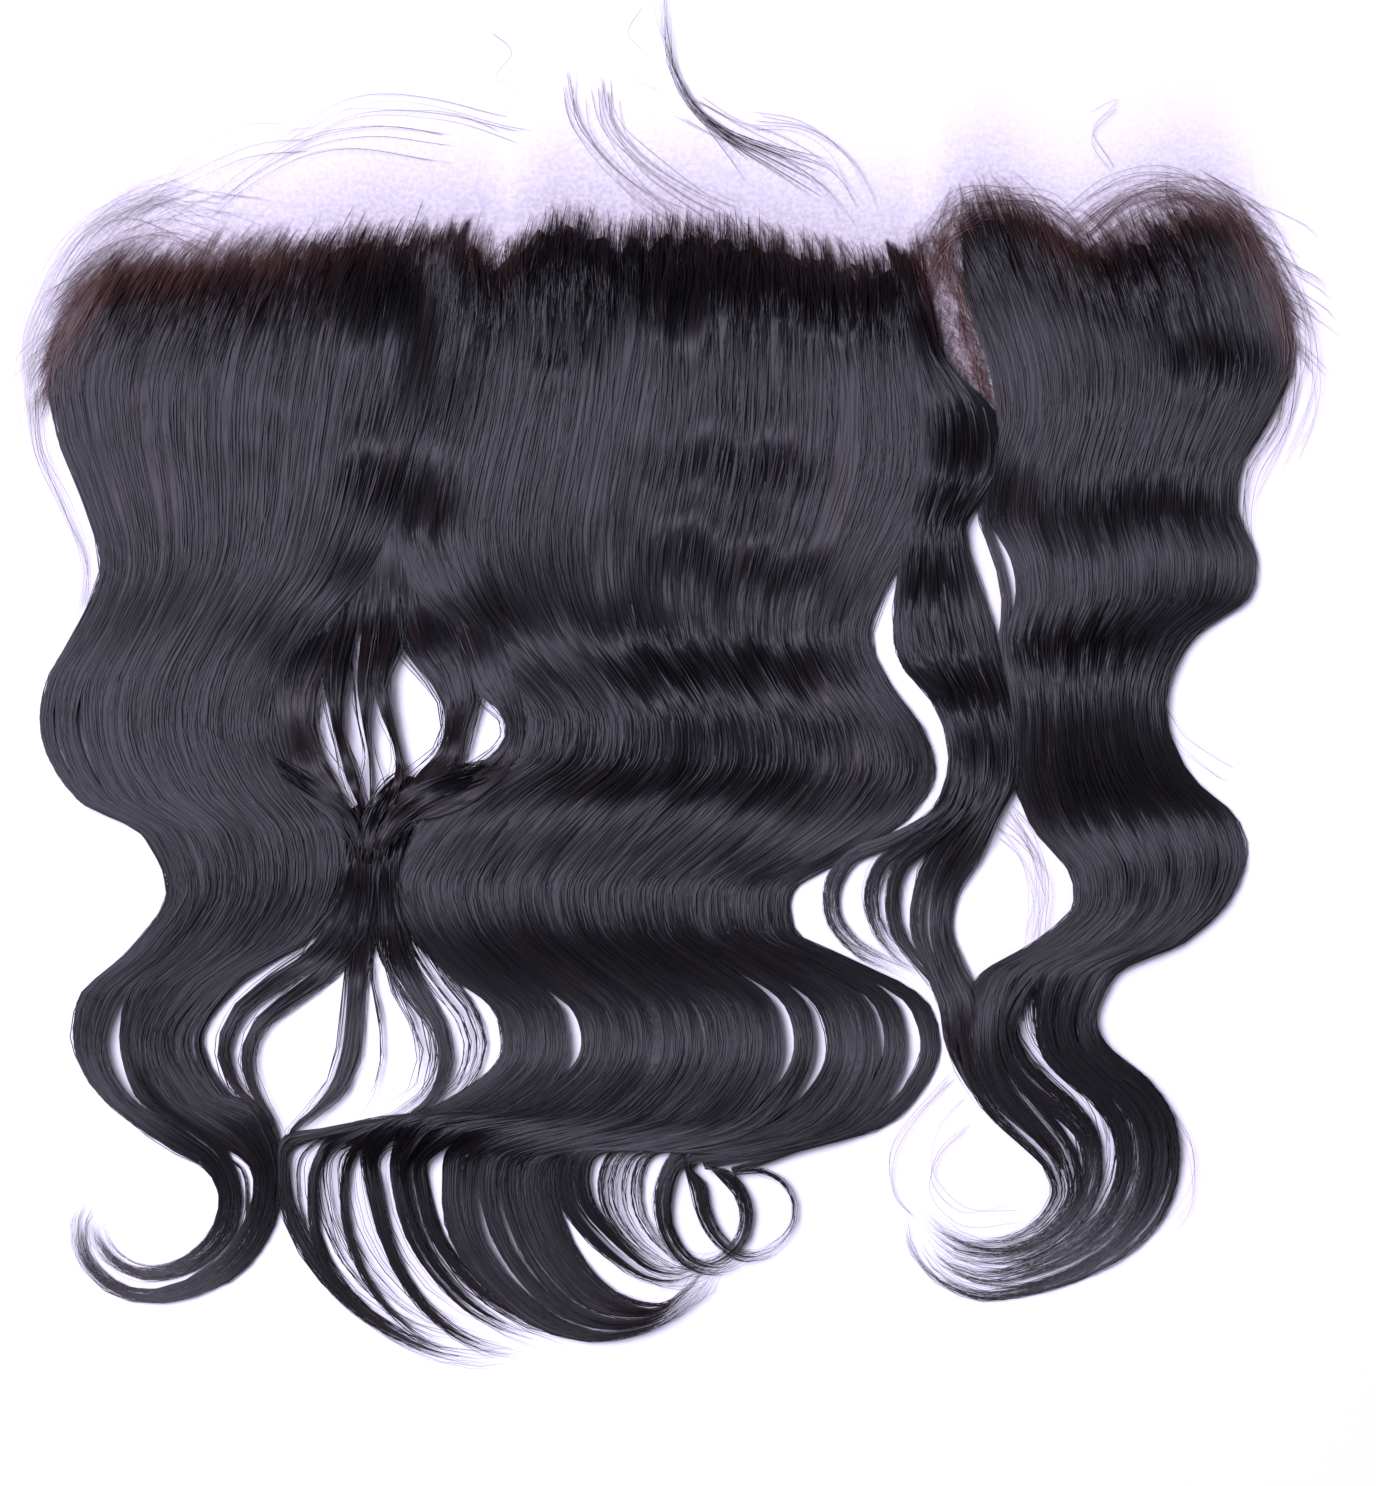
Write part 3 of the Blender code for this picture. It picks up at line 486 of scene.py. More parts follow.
# What a section is combed with: the node that it stands for and its folds, locks, slits and steep patches;
# its strands at the roots, those that stop within the folds, and its partial and its tail strands for each
# whole one; the width of its strands as a share of the usual, how far down its roots are spread and how
# strongly strands gather into tufts; how far its top is unruly and by how much, and how far down its tails
# the mass runs
Section = namedtuple(
    "Section",
    "node folds locks slits steeps roots cover partial tails fineness root_spread gather unruly_reach unruly"
    " solid",
)
SECTIONS = (
    Section("left_fall", LEFT_FOLDS, LEFT_LOCKS, LEFT_SLITS, LEFT_STEEPS,
            1200, 60, 1.4, 0.3, 0.9, 9, 0.3, 85, 1, 0.42),
    Section("centre_fall", CENTRE_FOLDS, CENTRE_LOCKS, CENTRE_SLITS, CENTRE_STEEPS,
            1500, 60, 1.15, 0.8, 0.9, 9, 0.3, 115, 1.2, 0.82),
    Section("inner_lock", INNER_FOLDS, INNER_LOCKS, INNER_SLITS, INNER_STEEPS,
            100, 30, 1.2, 0.5, 1, 8, 0.3, 60, 0.7, 0.9),
    Section("right_fall", RIGHT_FOLDS, RIGHT_LOCKS, RIGHT_SLITS, RIGHT_STEEPS,
            1200, 60, 1.3, 0.6, 0.9, 8, 0.3, 70, 1, 0.50),
    Section("twist_lock", (), TWIST_LOCKS, (), TWIST_STEEPS, 0, 0, 0.6, 0, 0.9, 10, 0.4, 30, 0.6, 0.92),
    Section("raised_lock", (), RAISED_LOCKS, (), (), 0, 0, 0, 0, 0.55, 6, 0.2, 10, 1, 0.9),
)


def linear(hex_colour):
    """A colour written as sRGB hex, in the linear values that Blender works with."""
    parts = [int(hex_colour[start:start + 2], 16) / 255 for start in (1, 3, 5)]
    return tuple(part / 12.92 if part <= 0.04045 else ((part + 0.055) / 1.055) ** 2.4 for part in parts)


class FrontalHair(bpy.types.PropertyGroup):
    """Sizes and colours of the hair."""

    strand_width: FloatProperty(
        name="Strand width",
        description="Width of a drawn strand, which stands for three or four real hairs",
        default=0.32 * MM, unit="LENGTH",
    )
    streak_depth: FloatProperty(
        name="Streak depth",
        description="Depth of the combed streaks where the hair lies close",
        default=1.0 * MM, unit="LENGTH",
    )
    fine_width: FloatProperty(
        name="Fine hair width",
        description="Width of a drawn baby hair at the hairline",
        default=0.17 * MM, unit="LENGTH",
    )
    seed: IntProperty(name="Seed", description="Changes every random draw", default=7)
    black: FloatVectorProperty(
        name="Black", description="The hair's main colour", subtype="COLOR", default=linear("#08070a"),
    )
    brown: FloatVectorProperty(
        name="Brown", description="The lighter strands and the tips", subtype="COLOR",
        default=linear("#2a1c1b"),
    )
    root: FloatVectorProperty(
        name="Root", description="The fine hair at the hairline", subtype="COLOR", default=linear("#583b33"),
    )


class FrontalNet(bpy.types.PropertyGroup):
    """Sizes and colours of the lace net."""

    thickness: FloatProperty(
        name="Thickness", description="Thickness of the net", default=0.3 * MM, unit="LENGTH",
    )
    mesh_width: FloatProperty(
        name="Mesh width",
        description="Width of a hole in the net, drawn coarser than the real 0.6 mm so that it shows",
        default=1.1 * MM, unit="LENGTH",
    )
    thread: FloatVectorProperty(
        name="Thread", description="The net's thread", subtype="COLOR", default=linear("#efebf4"),
    )
    # The rooted colour is the knots' tint and also painted shade on the net beside the hair mass at the
    # hairline
    rooted: FloatVectorProperty(
        name="Rooted net", description="The net where hair is knotted in", subtype="COLOR",
        default=linear("#a8989a"),
    )


def smooth_rows(rows):
    """DENSE readings along a smooth curve through the rows, and the row number of each reading."""
    rows = np.array(rows, float)
    middles = (rows[:, 0:2] + rows[:, 2:4]) / 2
    steps = np.linalg.norm(np.diff(middles, axis=0), axis=1)
    times = np.concatenate(([0.0], np.cumsum(steps)))
    slopes = np.diff(rows, axis=0) / steps[:, None]
    tangents = np.empty_like(rows)
    tangents[0] = slopes[0]
    tangents[-1] = slopes[-1]
    before, after = steps[:-1, None], steps[1:, None]
    tangents[1:-1] = (slopes[:-1] * after + slopes[1:] * before) / (before + after)
    wanted = np.linspace(0.0, times[-1], DENSE)
    start = np.clip(np.searchsorted(times, wanted, side="right") - 1, 0, len(steps) - 1)
    share = ((wanted - times[start]) / steps[start])[:, None]
    width = steps[start][:, None]
    square, cube = share ** 2, share ** 3
    read = (
        (2 * cube - 3 * square + 1) * rows[start]
        + (cube - 2 * square + share) * width * tangents[start]
        + (3 * square - 2 * cube) * rows[start + 1]
        + (cube - square) * width * tangents[start + 1]
    )
    return read, start + share[:, 0]


def lock_rows(folds, lock):
    """The folds and bends of a lock from root to tip as rows of left, right and height."""
    rows = []
    for fold in folds:
        left, right = np.array(fold[0:2]), np.array(fold[2:4])
        ends = [left + share * (right - left) for share in (lock.first, lock.last)]
        rows.append((*ends[0], *ends[1], fold.height))
    middles = [((row[0] + row[2]) / 2, (row[1] + row[3]) / 2) for row in rows[-1:]]
    skipped = len(middles)
    for bend in lock.bends:
        fold = isinstance(bend, Fold)
        middles.append(((bend[0] + bend[2]) / 2, (bend[1] + bend[3]) / 2) if fold else bend[0:2])
    for number, bend in enumerate(lock.bends, start=skipped):
        if isinstance(bend, Fold):
            rows.append(bend)
            continue
        back = np.array(middles[max(number - 1, 0)])
        ahead = np.array(middles[min(number + 1, len(middles) - 1)])
        along = (ahead - back) / np.linalg.norm(ahead - back)
        side = np.array((along[1], -along[0])) * bend.width / 2
        middle = np.array(bend[0:2])
        rows.append((*(middle + side), *(middle - side), bend.height))
    return rows


def rest_height(y):
    """The height of the surface under the hair: just off the floor, and a step higher on the net."""
    return OFF_FLOOR + NET_STEP * np.clip((y - NET_STEP_START) / NET_STEP_RUN, 0.0, 1.0)


def crown(share):
    """The height of the hair across a section, as a share of its height in the middle."""
    inner = np.clip(np.abs(2 * share - 1), 0.0, 1.0)
    return EDGE_SHARE + (1 - EDGE_SHARE) * np.sqrt(1 - inner ** 3)


def read_table(table, x):
    """A table along the hairline, read at places across it."""
    return np.interp(x, [row[0] for row in table], [row[1] for row in table])


class Course:
    """The space that a lock's strands run in, read finely from root to tip."""

    def __init__(self, section, lock):
        self.section = section
        self.lock = lock
        read, row = smooth_rows(lock_rows(section.folds, lock))
        self.left, self.right, self.height = read[:, 0:2], read[:, 2:4], np.maximum(read[:, 4], LOWEST_LOCK)
        steps = np.diff((self.left + self.right) / 2, axis=0)
        lengths = np.linalg.norm(steps, axis=1)
        self.along = np.concatenate(([0.0], np.cumsum(lengths)))
        climbs = np.column_stack((steps, np.diff(self.height)))
        climbs /= np.linalg.norm(climbs, axis=1)[:, None]
        turns = np.arccos(np.clip((climbs[1:] * climbs[:-1]).sum(axis=1), -1.0, 1.0))
        weights = lengths / STEP_LENGTH
        weights[1:] += np.degrees(turns) / STEP_TURN
        self.weight = np.concatenate(([0.0], np.cumsum(weights)))
        self.width = np.linalg.norm(self.right - self.left, axis=1).mean()
        # How far the lock has left its section: 0 within it, 1 on its own bends
        last_fold = len(section.folds) - 1
        self.apart = np.ones(DENSE)
        if section.folds:
            self.apart = np.clip((row - last_fold + LEAVING_BEFORE) / LEAVING_OVER, 0.0, 1.0)
        self.split = np.interp(last_fold, row, self.along) if section.folds else 0.0
        # Strands in the middle of a section sway less than its edges
        self.calm = np.zeros(DENSE)
        if section.folds:
            whole, whole_row = smooth_rows(lock_rows(section.folds, Lock(0, 1, 0, 0, ())))
            sway = (whole[:, 0] + whole[:, 2]) / 2
            reach = np.arange(-CALM_REACH, CALM_REACH + 1)
            bell = np.exp(-(reach / CALM_SPREAD) ** 2 / 2)
            padded = np.pad(sway, CALM_REACH, mode="edge")
            trend = np.convolve(padded, bell / bell.sum(), mode="valid")
            self.calm = np.interp(row, whole_row, (trend - sway) * CALM) * (1 - self.apart)

    def read(self, values, at):
        """Values of the course at distances from the root."""
        if values.ndim == 1:
            return np.interp(at, self.along, values)
        return np.stack([np.interp(at, self.along, column) for column in values.T], axis=-1)

    def reach(self, at):
        """How near distances from the root are to the tips: 0 within the folds, 1 at the last bend."""
        if not self.lock.bends:
            return np.zeros_like(at)
        return np.clip((at - self.split) / (self.along[-1] - self.split + 1), 0, 1)

    def across(self, share):
        """A share of the lock's width as a share of its section's width."""
        return self.lock.first + share * (self.lock.last - self.lock.first)

    def place(self, share, aside, level, at, lag=0.0):
        """Points at a share of the way across, moved aside in mm, at a level of the hair's height.

        The lag is how far behind, in mm, a strand follows the waves in its height.
        """
        left, right = self.read(self.left, at), self.read(self.right, at)
        span = right - left
        width = np.linalg.norm(span, axis=-1)
        unit = span / np.maximum(width, 0.01)[..., None]
        of_section = self.across(share)
        flat = left + share[..., None] * span
        for slit in self.section.slits:
            open_share = np.clip((slit.top - flat[..., 1]) / (slit.top - slit.bottom), 0.0, 1.0)
            distance = of_section - slit.place
            reach = np.abs(distance) * width / (self.lock.last - self.lock.first)
            push = slit.width / 2 * np.sin(np.pi * open_share) * np.exp(-reach / SLIT_FADE)
            aside = aside + np.where(distance < 0, -push, push)
        flat = flat + aside[..., None] * unit
        flat[..., 0] += self.read(self.calm, at) * 4 * of_section * (1 - of_section)
        apart = self.read(self.apart, at)
        roundness = (1 - apart) * crown(of_section) + apart * crown(share)
        lag = lag + ragged(of_section) * self.section.unruly
        height = self.read(self.height, at + lag)
        # Shallow swells cross the hair at a slant, so that its sheen breaks up
        swell = sum(
            size * np.sin(at / length + waves * of_section + phase) for size, length, waves, phase in SWELLS
        )
        height = height + SWELL * height * swell * self.section.unruly * (1 - apart)
        for steep in self.section.steeps:
            back = (flat[..., 1] - steep.y - lag) / steep.along
            side = (flat[..., 0] - steep.x) / steep.across
            height = height + steep.slope * steep.along * back * np.exp(-(back ** 2 + side ** 2) / 2)
        rise = rest_height(flat[..., 1]) + np.maximum(height, LOWEST_HAIR) * roundness * level
        return np.concatenate((flat, rise[..., None]), axis=-1)

    def roots(self, share):
        """How far from the first fold the dark mass begins at each share."""
        if not self.section.folds or self.section.node == "inner_lock":
            return np.zeros_like(share)
        left, right = self.left[0], self.right[0]
        x = left[0] + share * (right[0] - left[0])
        y = left[1] + share * (right[1] - left[1])
        return y - read_table(MASS_TOP, x)


def ragged(share):
    """How far the waves run ahead, in mm, at shares of a section: its tufts are never quite in step."""
    return sum(size * np.sin(waves * share + phase) for size, waves, phase in OUT_OF_STEP)


def reddish(points):
    """How brown the hair is near its roots: some stretches of the hairline are lighter than others."""
    depth = read_table(MASS_TOP, points[..., 0]) - points[..., 1]
    return read_table(BROWN_ROOTS, points[..., 0]) * np.exp(-np.maximum(depth, 0.0) / BROWN_DEPTH)


def drift(rng, count, at, size, length):
    """A smooth sideways wander of every strand, in mm, over waves of about the given length."""
    total = np.zeros_like(at)
    for part in (1.0, 0.55, 0.3):
        phase = rng.uniform(0, 2 * np.pi, (count, 1))
        wave = length * part * rng.uniform(0.8, 1.25, (count, 1))
        total += part * np.sin(2 * np.pi * at / wave + phase)
    return total * size / 1.2


def pick_shares(course, rng, count):
    """Strands' places across a lock, which of them lie at its rim, and their tufts with the tufts' places."""
    share = rng.uniform(-0.01, 1.01, count)
    rim = rng.uniform(0, 1, count) < RIM_SHARE
    left = rng.uniform(0, 1, count) < 0.5
    near = np.abs(rng.normal(0, RIM_SPREAD, count)) / course.width
    share = np.where(rim, np.where(left, near, 1 - near), share)
    tufts = max(2, int(course.width / TUFT_WIDTH))
    homes = (np.arange(tufts) + rng.uniform(0.2, 0.8, tufts)) / tufts
    return share, rim, np.abs(share[:, None] - homes[None, :]).argmin(axis=1), homes


def pick_ends(course, rng, share, kind):
    """How far along its lock each strand begins and ends, in mm."""
    count, length = len(share), course.along[-1]
    tail = length - course.split
    root = np.maximum(course.roots(share) + rng.uniform(-0.1, 1.0, count) * course.section.root_spread, 0.0)
    if course.lock.bends:
        tip = length - tail * 0.7 * rng.uniform(0, 1, count) ** 1.1
    else:
        tip = length * (1 - 0.45 * rng.uniform(0, 1, count) ** 1.5)
    if kind == "partial":
        root = root + (tip - root) * rng.uniform(0.0, 0.8, count)
        tip = np.minimum(root + length * rng.uniform(*PARTIAL_RUN, count), tip)
    if kind == "tail":
        root = course.split - rng.uniform(0, TAIL_LEAD, count)
        tip = length - tail * 0.5 * rng.uniform(0, 1, count)
    if kind == "root":
        root = np.maximum(course.roots(share) + rng.normal(-0.5, 3.0, count), 0.0)
        tip = root + rng.uniform(*ROOT_RUN, count)
    return root, tip


def stations_along(course, rng, root, tip):
    """The points of every strand, as distances along its lock: closer together where the lock bends."""
    first, last = (np.interp(ends, course.along, course.weight) for ends in (root, tip))
    stations = max(6, int((last - first).mean()) + 2)
    counts = np.linspace(0, 1, stations)[None, :]
    nudge = rng.uniform(-0.45, 0.45, (len(root), 1)) / stations * np.sin(np.pi * counts) ** 0.3
    weight = first[:, None] + np.clip(counts + nudge, 0, 1) * (last - first)[:, None]
    return np.interp(weight, course.weight, course.along)


def comb(course, rng, width, kind):
    """Strands of a lock: their points in mm, their widths, tones and how near they are to their tips.

    Whole strands run from the net to the tips, partial ones show for a stretch only and dive under the
    others at both ends, root strands cover the net at the hairline, and tail strands run from the last
    fold to the tips.
    """
    section, lock = course.section, course.lock
    counts = {
        "whole": lock.strands, "root": section.roots,
        "partial": lock.strands * section.partial, "tail": lock.strands * section.tails,
    }
    count = round(counts[kind])
    share, rim, tuft, homes = pick_shares(course, rng, count)
    root, tip = pick_ends(course, rng, share, kind)
    at = stations_along(course, rng, root, tip)
    apart = course.read(course.apart, at)
    done = (at - root[:, None]) / (tip - root)[:, None]
    length = course.along[-1]
    tail = length - course.split

    # Strands draw together into tufts, stray a little, and fray at their tips
    pulled = section.gather * np.clip((at - GATHER_START) / GATHER_RUN, 0, 1) * (0.5 + 0.5 * apart)
    pulled = pulled * np.where(rim, RIM_GATHER, 1.0)[:, None]
    home = homes[tuft]
    shares = home[:, None] + (share - home)[:, None] * (1 - pulled)
    unruly = section.unruly * np.clip(1 - at / section.unruly_reach, 0, 1) * np.clip(at / 15, 0, 1)
    loose = np.where(rng.uniform(0, 1, count) < LOOSE_SHARE, 4.0, 1.0)[:, None]
    phase = rng.uniform(0, 2 * np.pi, len(homes))[tuft][:, None]
    aside = 0.35 * np.sin(at / 17 + phase) + drift(rng, count, at, 0.16, 60) * loose
    aside = aside + unruly * (np.sin(at / 11 + 2 * phase) + drift(rng, count, at, 0.8, 45))
    fray = rng.normal(0, 1, (count, 1)) * np.clip((at - length + 0.35 * tail) / (0.35 * tail + 1), 0, 1)
    if lock.bends:
        aside = aside + fray * FRAY

    # They weave over and under one another, and the ends that don't show dive under the others
    wave = rng.uniform(35, 70, (count, 1))
    weave = 0.04 * np.sin(2 * np.pi * at / wave + rng.uniform(0, 6.28, (count, 1)))
    level = rng.uniform(*LEVELS, (count, 1)) + weave + 0.03 * (loose > 1)
    nearest_end = {
        "whole": 1.0, "root": (1 - done) / 0.2, "tail": done / 0.2,
        "partial": np.minimum(done, 1 - done) / 0.12,
    }
    level = level - DIVE * (1 - np.clip(nearest_end[kind], 0, 1))
    points = course.place(shares, aside, level, at, rng.normal(0, LAG, (count, 1)))
    if kind in ("whole", "root"):
        floor = rest_height(points[..., 1])
        rooted = np.clip((at - root[:, None]) / 9, 0, 1) ** 0.8
        points[..., 2] = floor + (points[..., 2] - floor) * rooted

    taper = np.minimum(np.clip(done / 0.04, 0.35, 1), np.clip((1 - done) / 0.3, 0.35, 1))
    thick = width * section.fineness * rng.uniform(0.7, 1.2, (count, 1)) * taper
    if kind == "root":
        thick = thick * 0.75
    tones = rng.uniform(0, 1, count) * 0.6 + rng.uniform(0, 1, len(homes))[tuft] * 0.4
    return points, thick, tones, course.reach(at)


def strand_outline(name):
    """The curve object that gives strands their section."""
    outline = bpy.data.curves.new(name, "CURVE")
    outline.dimensions = "2D"
    corners = outline.splines.new("POLY")
    corners.points.add(len(PROFILE) - 1)
    for corner, place in zip(corners.points, PROFILE):
        corner.co = (*place, 0.0, 1.0)
    corners.use_cyclic_u = True
    thing = bpy.data.objects.new(name, outline)
    bpy.context.scene.collection.objects.link(thing)
    return thing


def add_strand(curve, rng, strand, width):
    """Adds a strand to a curve. It leans its own way, rolls slowly and has no width at its ends."""
    count = len(strand)
    spline = curve.splines.new("POLY")
    spline.points.add(count - 1)
    placed = np.ones((count, 4), np.float32)
    placed[:, :3] = strand * MM
    radius = width / 2
    radius[[0, -1]] = 0.0
    roll = rng.normal(0, LEAN_OF_STRANDS) + 0.5 * np.sin(rng.uniform(0, 6.28) + np.arange(count) / 3)
    for label, values in (("co", placed.ravel()), ("radius", radius), ("tilt", roll)):
        spline.points.foreach_set(label, values.astype(np.float32))
    spline.use_smooth = True


def make_strands(name, batches, material):
    """One mesh of closed three-sided strands from batches of points in mm, widths in m, tones and reaches."""
    outline = strand_outline(name + "_outline")
    curve = bpy.data.curves.new(name, "CURVE")
    curve.dimensions = "3D"
    curve.twist_mode = "Z_UP"
    curve.bevel_mode = "OBJECT"
    curve.bevel_object = outline
    marks = {"tone": [], "reach": [], "reddish": [], "side": []}
    rng = np.random.default_rng(len(name))
    corners = len(PROFILE)
    for batch in batches:
        for strand, width, tone, reach in zip(*batch):
            add_strand(curve, rng, strand, width)
            marks["tone"].append(np.full(len(strand) * corners, tone))
            marks["reach"].append(np.repeat(reach, corners))
            marks["reddish"].append(np.repeat(reddish(strand), corners))
            marks["side"].append(np.repeat(sideways(strand), corners, axis=0))
    thing = bpy.data.objects.new(name, curve)
    bpy.context.scene.collection.objects.link(thing)
    bpy.context.view_layer.update()
    data = bpy.data.meshes.new_from_object(thing.evaluated_get(bpy.context.evaluated_depsgraph_get()))
    for spare in (thing, outline):
        bpy.data.objects.remove(spare, do_unlink=True)
    for label, values in marks.items():
        mark(data, label, np.concatenate(values))

    # The strands' ends have no width, so their coincident corners merge into closed points
    mesh = bmesh.new()
    mesh.from_mesh(data)
    bmesh.ops.remove_doubles(mesh, verts=list(mesh.verts), dist=MERGE_DISTANCE)
    mesh.to_mesh(data)
    mesh.free()
    return add_piece(name, smooth_but_sharp(data), material)


def smooth_but_sharp(data):
    """Shades a mesh smooth, apart from the edges between its top and its sides."""
    data.shade_smooth()
    data.set_sharp_from_angle(angle=math.radians(SHARP_ANGLE))
    return data


def mark(data, label, values):
    """Gives every point of a mesh a number or a direction that its material can read."""
    values = np.asarray(values, np.float32)
    if values.ndim == 1:
        data.attributes.new(label, "FLOAT", "POINT").data.foreach_set("value", values)
    else:
        data.attributes.new(label, "FLOAT_VECTOR", "POINT").data.foreach_set("vector", values.ravel())


def sideways(points):
    """Level directions square to the hair's run, from points that follow it along the first axis."""
    ahead = np.gradient(points, axis=0)
    side = np.stack((ahead[..., 1], -ahead[..., 0], np.zeros_like(ahead[..., 0])), axis=-1)
    return side / np.maximum(np.linalg.norm(side, axis=-1, keepdims=True), 1e-6)


def make_mass(name, section, material):
    """The mass of a section's hair: closed ribbons that follow the same folds, just under the top strands."""
    whole = bmesh.new()
    for lock in section.locks:
        if lock.core == 0 and not section.folds:
            continue
        course = Course(section, lock)
        for low, high in body_strips(course):
            add_ribbon(whole, course, low, high)
    data = bpy.data.meshes.new(name)
    whole.to_mesh(data)
    whole.free()
    return add_piece(name, smooth_but_sharp(data), material)


def add_piece(name, data, material):
    """Adds a mesh to the scene as a piece of one material."""
    piece = bpy.data.objects.new(name, data)
    data.name = name
    data.materials.clear()
    data.materials.append(material)
    bpy.context.scene.collection.objects.link(piece)
    return piece


def body_strips(course):
    """The shares between which the dark body of a lock is unbroken by slits."""
    lock = course.lock
    cuts = [slit.place for slit in course.section.slits if lock.first < slit.place < lock.last]
    shares = [(cut - lock.first) / (lock.last - lock.first) for cut in sorted(cuts)]
    edges = [0.0, *shares, 1.0]
    return list(zip(edges[:-1], edges[1:]))


def ribbon_places(course, low, high):
    """The top of a ribbon of the mass between two shares of a lock: its rows, its points and their marks."""
    lock, section = course.lock, course.section
    tail = course.along[-1] - course.split
    end = course.split + tail * section.solid if lock.core else np.interp(0.8, course.apart, course.along)
    rows = int(end / MASS_ROW) + 2
    widest = np.linalg.norm(course.right - course.left, axis=1).max() * (high - low)
    columns = max(3, int(widest / MASS_COLUMN) + 1)
    across = np.tile(np.linspace(0, 1, columns), rows)
    share = np.clip(low + across * (high - low), low + 1e-4, high - 1e-4)
    first = share[:columns]
    start = np.maximum(course.roots(first), 0.0) + MASS_BACK + 1.2 * ragged(2 * course.across(first))
    start = np.tile(start, rows)
    down = np.repeat(np.linspace(0, 1, rows), columns)
    at = start * (1 - down) + end * down
    width = np.linalg.norm(course.read(course.right, at) - course.read(course.left, at), axis=1)
    # The section's outer edges stand back, and so do a lock's own edges once it has left the section
    apart = course.read(course.apart, at)
    closing = np.clip((end - at) / MASS_NARROWS, 0.03, 1.0) ** 0.7 if lock.bends else 1.0
    narrow = (1 - apart * (1 - max(lock.core, 0.25))) * closing
    middle = (low + high) / 2
    share = middle + (share - middle) * narrow
    outer_left = lock.first == 0 and low == 0
    outer_right = lock.last == 1 and high == 1
    aside = np.minimum(0.5, 0.1 * width) * (outer_left * (1 - across) - outer_right * across)
    top = course.place(share, aside, np.full(len(at), MASS_LEVEL), at)
    rise = 0.15 + 0.85 * np.clip((at - start) / MASS_RISE, 0.0, 1.0)
    fall = np.clip((end - at) / MASS_FALL, 0.0, 1.0) ** 0.8
    floor = rest_height(top[:, 1])
    top[:, 2] = floor + np.maximum((top[:, 2] - floor) * rise * fall, 0.3)
    marks = {
        "across": course.across(share) * section_width(section, course), "along": at,
        "reach": course.reach(at), "reddish": reddish(top),
    }
    return rows, top, marks


def add_ribbon(whole, course, low, high):
    """Adds one closed ribbon of the mass between two shares of a lock's width."""
    rows, top, marks = ribbon_places(course, low, high)
    columns = len(top) // rows
    mesh = bmesh.new()
    layers = {label: mesh.verts.layers.float.new(label) for label in marks}
    side_layer = mesh.verts.layers.float_vector.new("side")
    bmesh.ops.create_grid(mesh, x_segments=columns - 1, y_segments=rows - 1, size=1.0)
    grid = sorted(mesh.verts, key=lambda vert: (-round(vert.co.y, 5), round(vert.co.x, 5)))
    sides = sideways(top.reshape(rows, columns, 3)).reshape(-1, 3)
    for number, vert in enumerate(grid):
        vert.co = top[number] * MM
        vert[side_layer] = sides[number]
        for label, values in marks.items():
            vert[layers[label]] = float(values[number])
    copied = bmesh.ops.extrude_face_region(mesh, geom=list(mesh.faces), use_keep_orig=True)["geom"]
    for vert in copied:
        if isinstance(vert, bmesh.types.BMVert):
            vert.co.z = rest_height(vert.co.y / MM) * MM
    bmesh.ops.recalc_face_normals(mesh, faces=list(mesh.faces))
    part = bpy.data.meshes.new("ribbon")
    mesh.to_mesh(part)
    mesh.free()
    whole.from_mesh(part)
    bpy.data.meshes.remove(part)


def section_width(section, course):
    """A usual width of the whole section that a lock belongs to, in mm."""
    return course.width / (course.lock.last - course.lock.first) if section.folds else course.width


def hair_colour(tree, hair, tone):
    """The colour of the hair: black, browner in its lighter strands, at its tips and at some roots."""
    reach = add_node(tree, "ShaderNodeAttribute", attribute_name="reach")
    roots = add_node(tree, "ShaderNodeAttribute", attribute_name="reddish")
    tips = add_node(
        tree, "ShaderNodeMapRange",
        values={"From Min": 0.45, "From Max": 1.0, "To Min": 0.0, "To Max": 0.8},
        links={"Value": reach.outputs["Fac"]},
    )
    lighter = add_node(
        tree, "ShaderNodeMapRange",
        values={"From Min": 0.5, "From Max": 1.0, "To Min": 0.0, "To Max": 0.5},
        links={"Value": tone},
    )
    share = add_node(
        tree, "ShaderNodeMath", operation="MAXIMUM",
        links={0: tips.outputs["Result"], 1: lighter.outputs["Result"]},
    )
    brown = add_node(
        tree, "ShaderNodeMix", data_type="RGBA",
        values={6: (*hair.black, 1.0), 7: (*hair.brown, 1.0)},
        links={0: share.outputs["Value"]},
    )
    colour = add_node(
        tree, "ShaderNodeMix", data_type="RGBA", values={7: (*hair.root, 1.0)},
        links={0: roots.outputs["Fac"], 6: brown.outputs[2]},
    )
    return colour.outputs[2]


def add_satin(tree, hair, tone, more=None):
    """Ends a hair material's tree: its colour, and a sheen that spreads across the hair, hardly along it."""
    side = add_node(tree, "ShaderNodeAttribute", attribute_name="side")
    links = {"Base Color": hair_colour(tree, hair, tone), "Tangent": side.outputs["Vector"], **(more or {})}
    shader = add_node(
        tree, "ShaderNodeBsdfPrincipled", links=links,
        values={"Roughness": SHEEN, "IOR": 1.55, "Metallic": 0.0, "Anisotropic": SPREAD},
    )
    add_node(tree, "ShaderNodeOutputMaterial", links={"Surface": shader.outputs["BSDF"]})


def add_node(tree, kind, values=None, links=None, **settings):
    """Adds a node with its settings, its sockets' values and its links."""
    node = tree.nodes.new(kind)
    for name, value in settings.items():
        setattr(node, name, value)
    for socket, value in (values or {}).items():
        node.inputs[socket].default_value = value
    for socket, source in (links or {}).items():
        tree.links.new(source, node.inputs[socket])
    return node


def new_material(name):
    """An empty node material and its tree."""
    material = bpy.data.materials.new(name)
    material.use_nodes = True
    material.node_tree.nodes.clear()
    return material, material.node_tree


